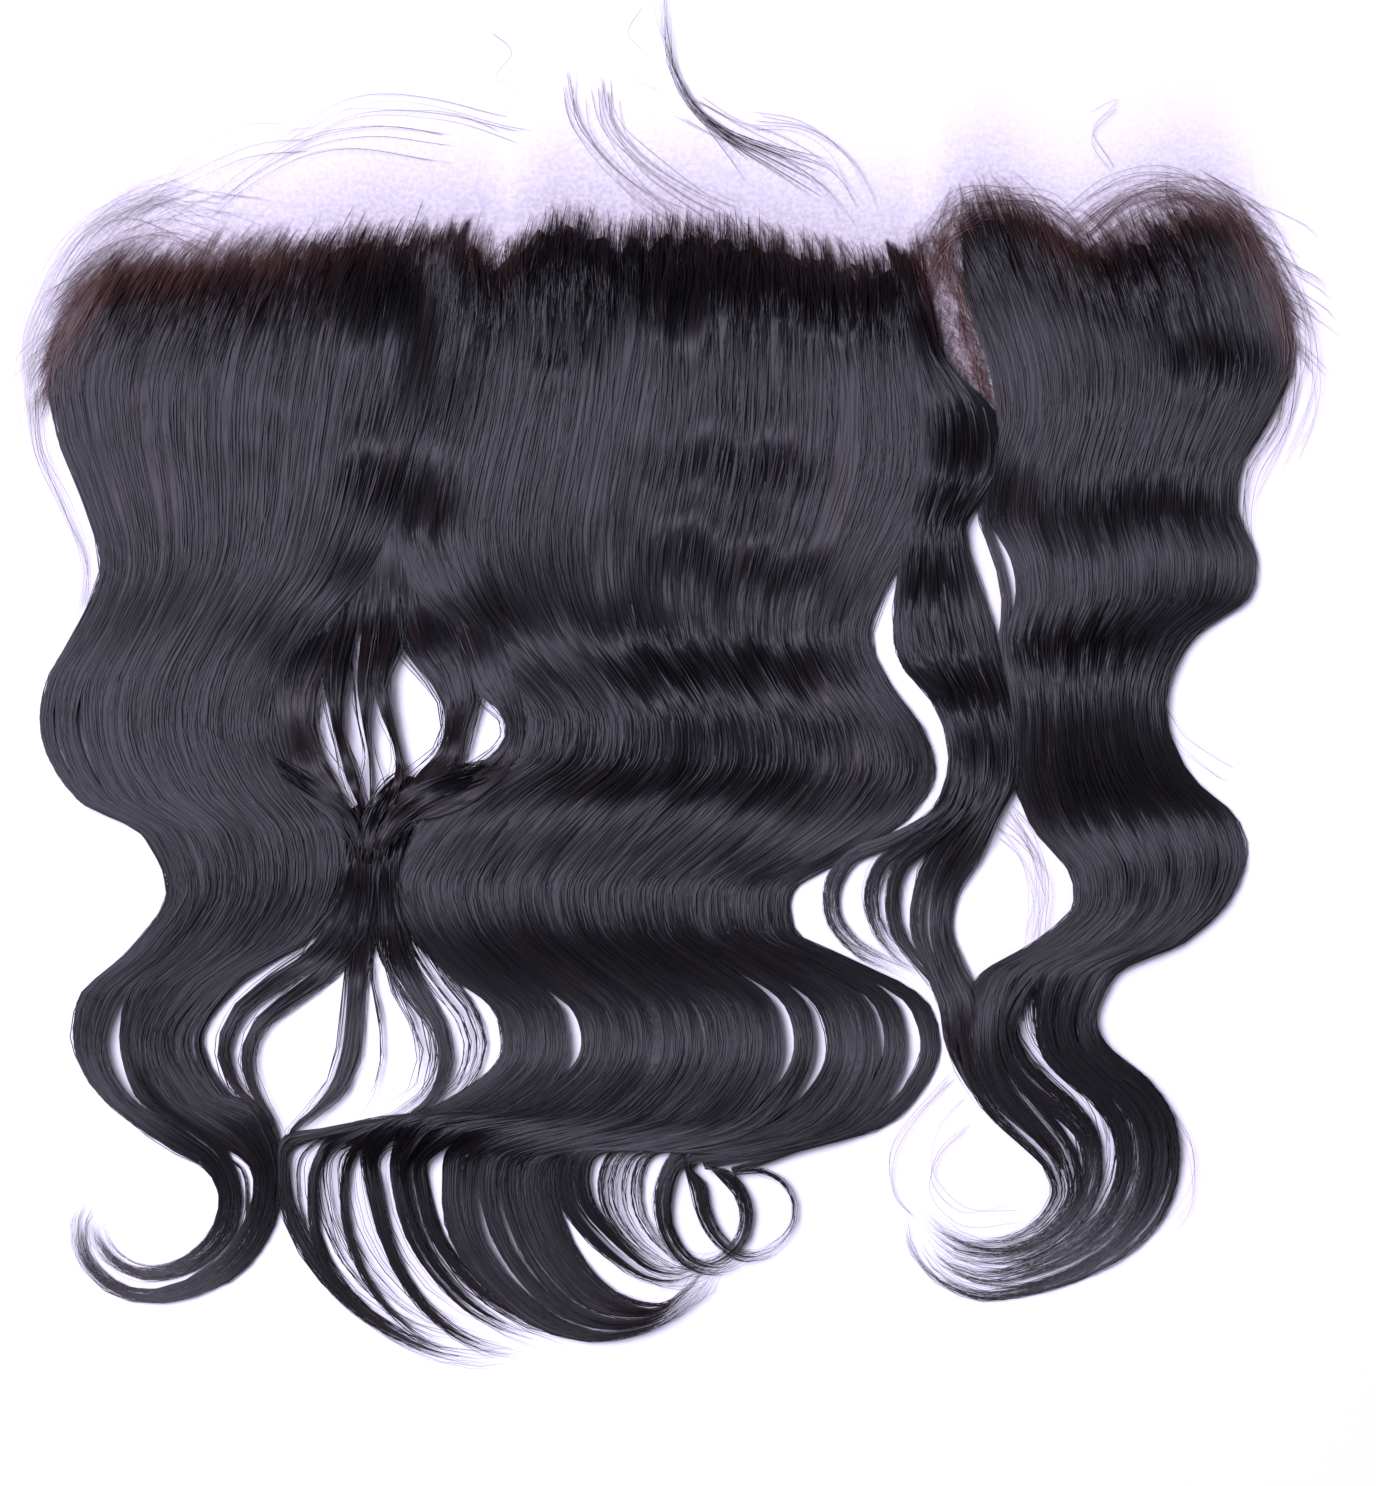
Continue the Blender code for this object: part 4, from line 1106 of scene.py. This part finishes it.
def steamed_black_hair(hair):
    """Natural black human hair, steam-set in waves: near black, brown where it thins, with a satin sheen.

    Its sheen spreads across the hair and hardly along it, so a wave is bright on its crest and dark on
    its slopes.
    """
    material, tree = new_material("steamed_black_hair")
    tone = add_node(tree, "ShaderNodeAttribute", attribute_name="tone")
    add_satin(tree, hair, tone.outputs["Fac"])
    return material


def combed_hair_mass(hair):
    """The same hair where it lies close: its sheen and tone run in fine combed streaks and wider tufts."""
    material, tree = new_material("combed_hair_mass")
    across = add_node(tree, "ShaderNodeAttribute", attribute_name="across")
    along = add_node(tree, "ShaderNodeAttribute", attribute_name="along")
    place = add_node(
        tree, "ShaderNodeCombineXYZ", links={"X": across.outputs["Fac"], "Y": along.outputs["Fac"]},
    )
    # A streak is about 1 mm wide and 30 mm long, a tuft 5 mm by 60 mm
    heights = []
    for size, detail in (((1.1, 0.035, 1.0), 2.0), ((0.22, 0.018, 1.0), 1.0)):
        stretch = add_node(
            tree, "ShaderNodeMapping", values={"Scale": size}, links={"Vector": place.outputs["Vector"]},
        )
        noise = add_node(
            tree, "ShaderNodeTexNoise", noise_dimensions="2D", values={"Scale": 1.0, "Detail": detail},
            links={"Vector": stretch.outputs["Vector"]},
        )
        heights.append(noise.outputs["Fac"])
    streaks, tufts = heights
    both = add_node(
        tree, "ShaderNodeMath", operation="MULTIPLY_ADD", values={1: 2.2}, links={0: tufts, 2: streaks},
    )
    bump = add_node(
        tree, "ShaderNodeBump", values={"Strength": 1.0, "Distance": hair.streak_depth},
        links={"Height": both.outputs["Value"]},
    )
    tone = add_node(
        tree, "ShaderNodeMapRange", values={"From Min": 1.1, "From Max": 2.1, "To Min": 0.0, "To Max": 1.0},
        links={"Value": both.outputs["Value"]},
    )
    add_satin(tree, hair, tone.outputs["Result"], {"Normal": bump.outputs["Normal"]})
    return material


def fine_root_hair(hair):
    """Baby hair: single fine hairs, dark brown where light passes through them."""
    material, tree = new_material("fine_root_hair")
    shader = add_node(
        tree, "ShaderNodeBsdfPrincipled",
        values={"Base Color": (*hair.root, 1.0), "Roughness": 0.5, "IOR": 1.55},
    )
    add_node(tree, "ShaderNodeOutputMaterial", links={"Surface": shader.outputs["BSDF"]})
    return material


def dress_section(name, hair):
    """Combs a section's strands over its mass."""
    section = next(section for section in SECTIONS if section.node == name)
    rng = np.random.default_rng(hair.seed + len(name) * 31)
    material = bpy.data.materials.get("steamed_black_hair") or steamed_black_hair(hair)
    close = bpy.data.materials.get("combed_hair_mass") or combed_hair_mass(hair)
    locks = [*section.locks]
    if section.cover:
        locks.append(Lock(0, 1, section.cover, 0, ()))
    batches = {"whole": [], "partial": [], "tail": []}
    for lock in locks:
        course = Course(section, lock)
        batches["whole"].append(comb(course, rng, hair.strand_width, "whole"))
        if section.partial:
            batches["partial"].append(comb(course, rng, hair.strand_width, "partial"))
        if section.tails and lock.bends:
            batches["tail"].append(comb(course, rng, hair.strand_width, "tail"))
    if section.roots:
        batches["partial"].append(comb(course, rng, hair.strand_width, "root"))
    made = [make_strands(f"{name}_{kind}_strands", held, material) for kind, held in batches.items() if held]
    if any(lock.core for lock in section.locks):
        made.append(make_mass(f"{name}_mass", section, close))
    for piece in made:
        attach(piece, "root")
        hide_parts(name)


class FRONTAL_OT_left_fall(bpy.types.Operator):
    """Combs the wide smooth section on the left, down to its hooked curl"""

    bl_idname = "frontal.left_fall"
    bl_label = "Left fall"

    def execute(self, context):
        dress_section("left_fall", context.scene.frontal_hair)
        return {"FINISHED"}


class FRONTAL_OT_twist_lock(bpy.types.Operator):
    """Combs the thin strands round the eyelets, their twist and its branches"""

    bl_idname = "frontal.twist_lock"
    bl_label = "Twist"

    def execute(self, context):
        dress_section("twist_lock", context.scene.frontal_hair)
        return {"FINISHED"}


class FRONTAL_OT_centre_fall(bpy.types.Operator):
    """Combs the wide middle section with its curved end locks and ringlets"""

    bl_idname = "frontal.centre_fall"
    bl_label = "Centre fall"

    def execute(self, context):
        dress_section("centre_fall", context.scene.frontal_hair)
        return {"FINISHED"}


class FRONTAL_OT_inner_lock(bpy.types.Operator):
    """Combs the narrow dark lock beside the parting"""

    bl_idname = "frontal.inner_lock"
    bl_label = "Inner lock"

    def execute(self, context):
        dress_section("inner_lock", context.scene.frontal_hair)
        return {"FINISHED"}


class FRONTAL_OT_right_fall(bpy.types.Operator):
    """Combs the section right of the parting, down to its open curl"""

    bl_idname = "frontal.right_fall"
    bl_label = "Right fall"

    def execute(self, context):
        dress_section("right_fall", context.scene.frontal_hair)
        return {"FINISHED"}


class FRONTAL_OT_raised_lock(bpy.types.Operator):
    """Combs the thin strand that lies forward over the bare net"""

    bl_idname = "frontal.raised_lock"
    bl_label = "Raised lock"

    def execute(self, context):
        dress_section("raised_lock", context.scene.frontal_hair)
        return {"FINISHED"}


# The net's front edge from left to right, in mm
NET_FRONT = (
    (-172.5, 78), (-131, 72), (-81, 58.7), (-41, 41.5), (7, 36), (57, 41.5), (97, 58.7), (138, 72),
    (172.5, 78),
)
NET_REAR = -101.6
# The net's faces from side to side and from rear to front, its middle height in mm and its ripples' height
NET_FACES = (80, 44)
NET_HEIGHT = 0.45
NET_RIPPLES = 0.15
# How far the knots' tint, which also paints the hair mass's shade on the net, reaches ahead of the hairline
# # and behind it in mm, and its strength
KNOT_AND_SHADE_REACH = (25, 6)
KNOT_AND_SHADE = 0.62


def swiss_lace(net):
    """Swiss lace: sheer matte nylon net, nearly invisible on white and pinkish where hair is knotted in;
    along the hairline that darker tint is also painted shade from the hair mass.
    """
    material, tree = new_material("swiss_lace")
    place = add_node(tree, "ShaderNodeTexCoord")
    knots = add_node(
        tree, "ShaderNodeTexNoise", values={"Scale": 0.9 / net.mesh_width, "Detail": 1.0},
        links={"Vector": place.outputs["Object"]},
    )
    mottle = add_node(
        tree, "ShaderNodeMapRange",
        values={"From Min": 0.38, "From Max": 0.64, "To Min": 0.55, "To Max": 1.0},
        links={"Value": knots.outputs["Fac"]},
    )
    # The knots' tint along the hairline also stands for painted shade from the hair mass
    near = add_node(tree, "ShaderNodeAttribute", attribute_name="rooted")
    rooted = add_node(
        tree, "ShaderNodeMath", operation="MULTIPLY",
        links={0: near.outputs["Fac"], 1: mottle.outputs["Result"]},
    )
    colour = add_node(
        tree, "ShaderNodeMix", data_type="RGBA",
        values={6: (*net.thread, 1.0), 7: (*net.rooted, 1.0)}, links={0: near.outputs["Fac"]},
    )
    # The bare net hides hardly anything, the knots between the hairs and the painted shade beside the hair
    # mass far more
    cover = add_node(
        tree, "ShaderNodeMath", operation="MULTIPLY_ADD",
        values={1: 0.60, 2: 0.02}, links={0: rooted.outputs["Value"]},
    )
    cloth = add_node(
        tree, "ShaderNodeBsdfPrincipled", values={"Roughness": 0.85, "IOR": 1.53},
        links={"Base Color": colour.outputs[2], "Alpha": cover.outputs["Value"]},
    )
    add_node(tree, "ShaderNodeOutputMaterial", links={"Surface": cloth.outputs["BSDF"]})
    return material


def knots_and_painted_shade(x, y):
    """How densely hair is knotted into the net: along the hairline and in the parting, nowhere else. Along
    the hairline the same tint is also painted shade from the hair mass.
    """
    beyond = y - read_table(MASS_TOP, x)
    sides = np.clip(np.minimum(x + 170, 168 - x) / 10, 0.0, 1.0)
    hairline_knots_and_shade = np.exp(-(beyond / np.where(beyond > 0, *KNOT_AND_SHADE_REACH)) ** 2) * sides * KNOT_AND_SHADE
    # The parting runs back over 48 mm, from x = 67 mm to 13 mm further right, and its haze reaches 6 mm
    run = np.clip(-y / 48, 0.0, 1.0)
    beside = (x - 67 - 13 * run) / 6
    parting = np.exp(-beside ** 4) * np.clip((y + 54) / 6, 0.0, 1.0) * np.clip((6 - y) / 10, 0.0, 1.0)
    return np.maximum(hairline_knots_and_shade, parting)


class FRONTAL_OT_net(bpy.types.Operator):
    """Lays the fine net with its concave front edge"""

    bl_idname = "frontal.net"
    bl_label = "Lace net"

    def execute(self, context):
        net = context.scene.frontal_net
        low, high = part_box("lace_net")
        mesh = bmesh.new()
        bmesh.ops.create_grid(mesh, x_segments=NET_FACES[0], y_segments=NET_FACES[1], size=1.0)
        edge = np.array(NET_FRONT, float)
        places = np.array([vert.co[:] for vert in mesh.verts])
        x = (low.x + high.x) / 2 + places[:, 0] * (high.x - low.x) / 2
        front = np.interp(x / MM, edge[:, 0], edge[:, 1]) * MM
        y = NET_REAR * MM + (places[:, 1] + 1) / 2 * (front - NET_REAR * MM)
        z = NET_HEIGHT * MM + NET_RIPPLES * MM * np.sin(x * 95) * np.sin(y * 80 + 1)
        for vert, spot in zip(mesh.verts, np.stack((x, y, z), axis=1)):
            vert.co = spot
        bmesh.ops.solidify(mesh, geom=list(mesh.faces), thickness=net.thickness)
        bmesh.ops.recalc_face_normals(mesh, faces=list(mesh.faces))
        data = bpy.data.meshes.new("swiss_lace_net")
        mesh.to_mesh(data)
        mesh.free()
        across, back = np.array([vert.co[:2] for vert in data.vertices]).T / MM
        # The knots' tint, with painted shade beside the hair mass along the hairline
        mark(data, "rooted", knots_and_painted_shade(across, back))
        data.shade_smooth()
        piece = add_piece("swiss_lace_net", data, swiss_lace(net))
        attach(piece, "root")
        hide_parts("lace_net")
        return {"FINISHED"}


def short_hairs(rng, x, top, lean, reach, width, spread):
    """Short fine hairs from points on the net, each leaning its own way as it runs back."""
    count = len(x)
    step = np.linspace(0, 1, SHORT_POINTS)[None, :]
    lean = (lean + rng.normal(0, spread, count))[:, None]
    reach = (reach * rng.uniform(0.55, 1.25, count))[:, None]
    bend = rng.normal(0.0, 0.8, (count, 1))
    down = step * reach
    across = x[:, None] + lean * down * (1 - 0.3 * step) + bend * np.sin(step * np.pi)
    back = top[:, None] - down / np.sqrt(1 + lean ** 2)
    rise = 0.8 + 2.8 * np.sin(step * np.pi * 0.6) * rng.uniform(0.3, 1.1, (count, 1))
    points = np.stack((across, back, rise), axis=-1)
    widths = width * rng.uniform(0.6, 1.3, (count, 1)) * (0.55 + 0.45 * step)
    return points, widths, rng.uniform(0.4, 1.0, count), np.zeros_like(across)


# Short hairs along the hairline: spans with their hairs, where they begin behind it and how far that
# spreads ahead, how they thin out, their length in mm, their width as a share and how their lean varies
Fringe = namedtuple("Fringe", "spans behind ahead thinning length width spread")
FRINGES = (
    Fringe(((-162, 67, 2500), (69, 157, 800)), 2.5, 9, 1.7, 10.0, 1.0, 0.20),
    Fringe(((-163, -100, 1500), (70, 160, 700)), 2, 15, 1.5, 17.0, 0.9, 0.25),
)
# Short hairs in the parting and along its two banks, and the parting's length in mm
PARTING_HAIRS = 620
BANK_HAIRS = 420
PARTING_RUN = 44


def hairline(rng, width):
    """The baby hair: fringes along the hairline, thinning outwards, the parting and both its banks."""
    batches = []
    for fringe in FRINGES:
        x = np.concatenate([rng.uniform(*span) for span in fringe.spans])
        ahead = fringe.ahead * rng.uniform(0, 1, len(x)) ** fringe.thinning
        top = read_table(MASS_TOP, x) - fringe.behind + ahead
        lean = read_table(LEAN, x)
        batches.append(short_hairs(rng, x, top, lean, fringe.length, width * fringe.width, fringe.spread))
    run = rng.uniform(0, 1, PARTING_HAIRS)
    bank = rng.uniform(-1, 1, PARTING_HAIRS)
    x = 67.5 + 12.5 * run + bank * (3.2 + 1.6 * run)
    batches.append(short_hairs(rng, x, -3 - PARTING_RUN * run, bank * 1.4 + 0.3, 3.6, width, 0.7))
    run = rng.uniform(0, 1, BANK_HAIRS)
    right = rng.uniform(0, 1, BANK_HAIRS) < 0.6
    x = np.where(right, 70.5 + 12 * run, 65.5 + 7 * run) + rng.normal(0, 1.0, BANK_HAIRS)
    lean = np.where(right, 0.45, -0.15)
    batches.append(short_hairs(rng, x, -2 - PARTING_RUN * run, lean, 9.0, width * 1.3, 0.3))
    return batches


# How many points a long loose hair has, and a short one
WISP_POINTS = 20
SHORT_POINTS = 4
# Long loose hairs: how many share a route, how far they spread, their width as a share, and the route
Wisp = namedtuple("Wisp", "hairs spread width route")
WISPS = (
    Wisp(34, 16.0, 0.5, ((-118, -2), (-132, 2), (-146, -5), (-157, -18), (-164, -36))),
    Wisp(26, 9.0, 0.5, ((-130, 8), (-148, 0), (-161, -18), (-168, -36), (-167, -52))),
    Wisp(9, 3.0, 0.8, ((-169, -44), (-167, -60), (-160, -76), (-154, -90), (-155, -104))),
    Wisp(5, 5.0, 0.8, ((-60, 19), (-80, 22), (-98, 19), (-112, 12), (-122, 4))),
    Wisp(5, 6.0, 0.8, ((-40, 24), (-62, 30), (-86, 30), (-104, 20))),
    Wisp(3, 6.0, 0.8, ((-96, 22), (-116, 18), (-134, 8), (-146, -4))),
    Wisp(10, 5.0, 0.9, ((-26, 38), (-24, 28), (-18, 18), (-8, 8), (4, 0))),
    Wisp(10, 5.0, 0.9, ((-18, 36), (-16, 26), (-8, 16), (4, 8), (16, 2))),
    Wisp(8, 5.0, 0.9, ((4, 30), (14, 24), (28, 19), (42, 10), (48, 2))),
    Wisp(5, 4.0, 0.8, ((20, 26), (34, 24), (46, 16), (52, 6))),
    Wisp(30, 12.0, 0.8, ((69, -16), (74, -4), (83, 3), (94, 1), (104, -10))),
    Wisp(20, 8.0, 0.8, ((70, -6), (77, 4), (88, 6), (99, 1), (106, -8))),
    Wisp(30, 12.0, 0.8, ((108, -12), (117, -1), (131, 5), (144, 0), (153, -16))),
    Wisp(22, 8.0, 0.8, ((108, -4), (120, 6), (136, 8), (149, 0), (156, -16))),
    Wisp(30, 11.0, 0.9, ((140, 4), (154, -8), (161, -26), (161, -44), (153, -60))),
    Wisp(9, 3.0, 0.9, ((163, -36), (161, -52), (153, -66), (152, -80), (155, -92))),
    Wisp(3, 3.0, 0.8, ((158, -6), (168, -26), (170, -44), (164, -60))),
    Wisp(2, 3.0, 0.8, ((118, 14), (112, 24), (118, 31), (110, 27))),
    Wisp(1, 1.0, 0.8, ((-48, 50), (-42, 44), (-46, 38), (-40, 34), (-44, 28))),
    Wisp(1, 1.0, 0.8, ((-8, 58), (-12, 50), (-6, 44), (-10, 38), (-2, 34))),
    Wisp(3, 2.0, 0.9, ((74, -226), (65, -235), (58, -246), (59, -257), (64, -262))),
    Wisp(3, 4.0, 0.8, ((78, -236), (70, -244), (68, -252), (76, -262), (92, -262))),
    Wisp(3, 3.0, 0.8, ((130, -128), (134, -136), (141, -142), (147, -146))),
    Wisp(14, 6.0, 0.7, ((88, -158), (94, -166), (97, -177), (96, -190))),
    Wisp(3, 3.0, 0.8, ((130, -232), (136, -244), (136, -256), (131, -266))),
)


def loose_hairs(rng, width):
    """The long loose hairs round the piece, each bundle on its own route."""
    batches = []
    for wisp in WISPS:
        route = np.array(wisp.route, float)
        rows = np.concatenate((route, route, np.zeros((len(route), 1))), axis=1)
        read = smooth_rows(rows)[0][:, :2]
        picked = read[np.linspace(0, DENSE - 1, WISP_POINTS).astype(int)]
        step = np.linspace(0, 1, WISP_POINTS)[None, :, None]
        count = wisp.hairs
        start = rng.normal(0, wisp.spread / 2.2, (count, 1, 2))
        end = rng.normal(0, wisp.spread / 2.2, (count, 1, 2))
        flat = picked[None] + start * (1 - step) + end * step
        flat += rng.normal(0, 0.4, (count, 1, 2)) * np.sin(step * np.pi * 3)
        rise = 1.2 + rng.uniform(0.3, 4.0, (count, 1, 1)) * np.sin(step * np.pi)
        points = np.concatenate((flat, rise), axis=-1)
        widths = width * wisp.width * rng.uniform(0.7, 1.2, (count, 1)) * (1 - 0.5 * step[:, :, 0])
        batches.append((points, widths, rng.uniform(0.5, 1.0, count), np.tile(step[0, :, 0], (count, 1))))
    return batches


class FRONTAL_OT_fine_hair(bpy.types.Operator):
    """Adds the baby hair along the hairline and the long loose hairs"""

    bl_idname = "frontal.fine_hair"
    bl_label = "Fine hair"

    def execute(self, context):
        hair = context.scene.frontal_hair
        rng = np.random.default_rng(hair.seed + 900)
        material = fine_root_hair(hair)
        for name, batches in (
            ("hairline_baby_hair", hairline(rng, hair.fine_width)),
            ("loose_hairs", loose_hairs(rng, hair.fine_width)),
        ):
            piece = make_strands(name, batches, material)
            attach(piece, "root")
        return {"FINISHED"}


# The picture: its height and its middle, in mm, and how far above the surface it is taken
PICTURE_HEIGHT = 392.3
PICTURE_MIDDLE = (4.2, -137.5)
CAMERA_HEIGHT = 1500
LENS_SENSOR = 36.0
# The lamps' and the room's colours are linear, and a little violet, as the photo's white surface is
LAMP_COLOUR = (0.80, 0.76, 1.0)
ROOM_COLOUR = (0.76, 0.74, 1.0)
ROOM_STRENGTH = 0.14
# Half the width of the white surface, in m
FLOOR_SIZE = 3.0


def white_sweep():
    """Matt white paper sweep under the piece."""
    material, tree = new_material("white_sweep")
    shader = add_node(
        tree, "ShaderNodeBsdfPrincipled",
        values={"Base Color": (*linear("#f0f0f0"), 1.0), "Roughness": 0.9},
    )
    add_node(tree, "ShaderNodeOutputMaterial", links={"Surface": shader.outputs["BSDF"]})
    return material


def add_light(name, place, aim, size, power):
    """A soft square light, which cameras don't see, turned to a point; lengths in metres."""
    lamp = bpy.data.lights.new(name, "AREA")
    lamp.shape = "SQUARE"
    lamp.size = size
    lamp.energy = power
    lamp.color = LAMP_COLOUR
    thing = bpy.data.objects.new(name, lamp)
    thing.location = place
    thing.rotation_euler = (Vector(aim) - Vector(place)).to_track_quat("-Z", "Y").to_euler()
    thing.visible_camera = False
    bpy.context.scene.collection.objects.link(thing)


class FRONTAL_OT_stage(bpy.types.Operator):
    """Sets the white surface, the soft light and the camera straight above"""

    bl_idname = "frontal.stage"
    bl_label = "Stage"

    def execute(self, context):
        scene = context.scene
        mesh = bmesh.new()
        bmesh.ops.create_grid(mesh, x_segments=2, y_segments=2, size=FLOOR_SIZE)
        data = bpy.data.meshes.new("floor")
        mesh.to_mesh(data)
        mesh.free()
        floor = add_piece("floor", data, white_sweep())

        middle = (PICTURE_MIDDLE[0] * MM, PICTURE_MIDDLE[1] * MM, 0.0)
        add_light("soft_key", (-0.6, 0.12, 2.1), middle, 0.7, 70)
        add_light("soft_fill", (0.2, -0.5, 2.4), middle, 2.4, 12)

        world = bpy.data.worlds.new("soft_room")
        world.use_nodes = True
        background = world.node_tree.nodes["Background"]
        background.inputs["Color"].default_value = (*ROOM_COLOUR, 1.0)
        background.inputs["Strength"].default_value = ROOM_STRENGTH
        scene.world = world
        scene.view_settings.view_transform = "Standard"

        data = bpy.data.cameras.new("camera")
        data.sensor_width = LENS_SENSOR
        data.lens = LENS_SENSOR * CAMERA_HEIGHT / PICTURE_HEIGHT
        data.clip_start = 0.01
        camera = bpy.data.objects.new("camera", data)
        camera.location = (middle[0], middle[1], CAMERA_HEIGHT * MM)
        scene.collection.objects.link(camera)
        scene.camera = camera
        return {"FINISHED"}


class FRONTAL_PT_panel(bpy.types.Panel):
    """Lists the pieces of the hairpiece"""

    bl_idname = "FRONTAL_PT_panel"
    bl_label = "Lace Frontal"
    bl_space_type = "VIEW_3D"
    bl_region_type = "UI"
    bl_category = "Lace Frontal"

    def draw(self, context):
        layout = self.layout
        for group in (context.scene.frontal_hair, context.scene.frontal_net):
            for name in group.__annotations__:
                layout.prop(group, name)
        for operator in OPERATORS:
            layout.operator(operator.bl_idname)


OPERATORS = (
    FRONTAL_OT_net,
    FRONTAL_OT_left_fall,
    FRONTAL_OT_twist_lock,
    FRONTAL_OT_centre_fall,
    FRONTAL_OT_inner_lock,
    FRONTAL_OT_right_fall,
    FRONTAL_OT_raised_lock,
    FRONTAL_OT_fine_hair,
    FRONTAL_OT_stage,
)
CLASSES = (FrontalHair, FrontalNet, *OPERATORS, FRONTAL_PT_panel)


def register():
    for item in CLASSES:
        bpy.utils.register_class(item)
    bpy.types.Scene.frontal_hair = PointerProperty(type=FrontalHair)
    bpy.types.Scene.frontal_net = PointerProperty(type=FrontalNet)


def unregister():
    del bpy.types.Scene.frontal_net
    del bpy.types.Scene.frontal_hair
    for item in reversed(CLASSES):
        bpy.utils.unregister_class(item)


def main():
    register()
    bpy.ops.frontal.stage()
    bpy.ops.frontal.net()
    bpy.ops.frontal.left_fall()
    bpy.ops.frontal.twist_lock()
    bpy.ops.frontal.centre_fall()
    bpy.ops.frontal.inner_lock()
    bpy.ops.frontal.right_fall()
    bpy.ops.frontal.raised_lock()
    bpy.ops.frontal.fine_hair()


if __name__ == "__main__":
    main()
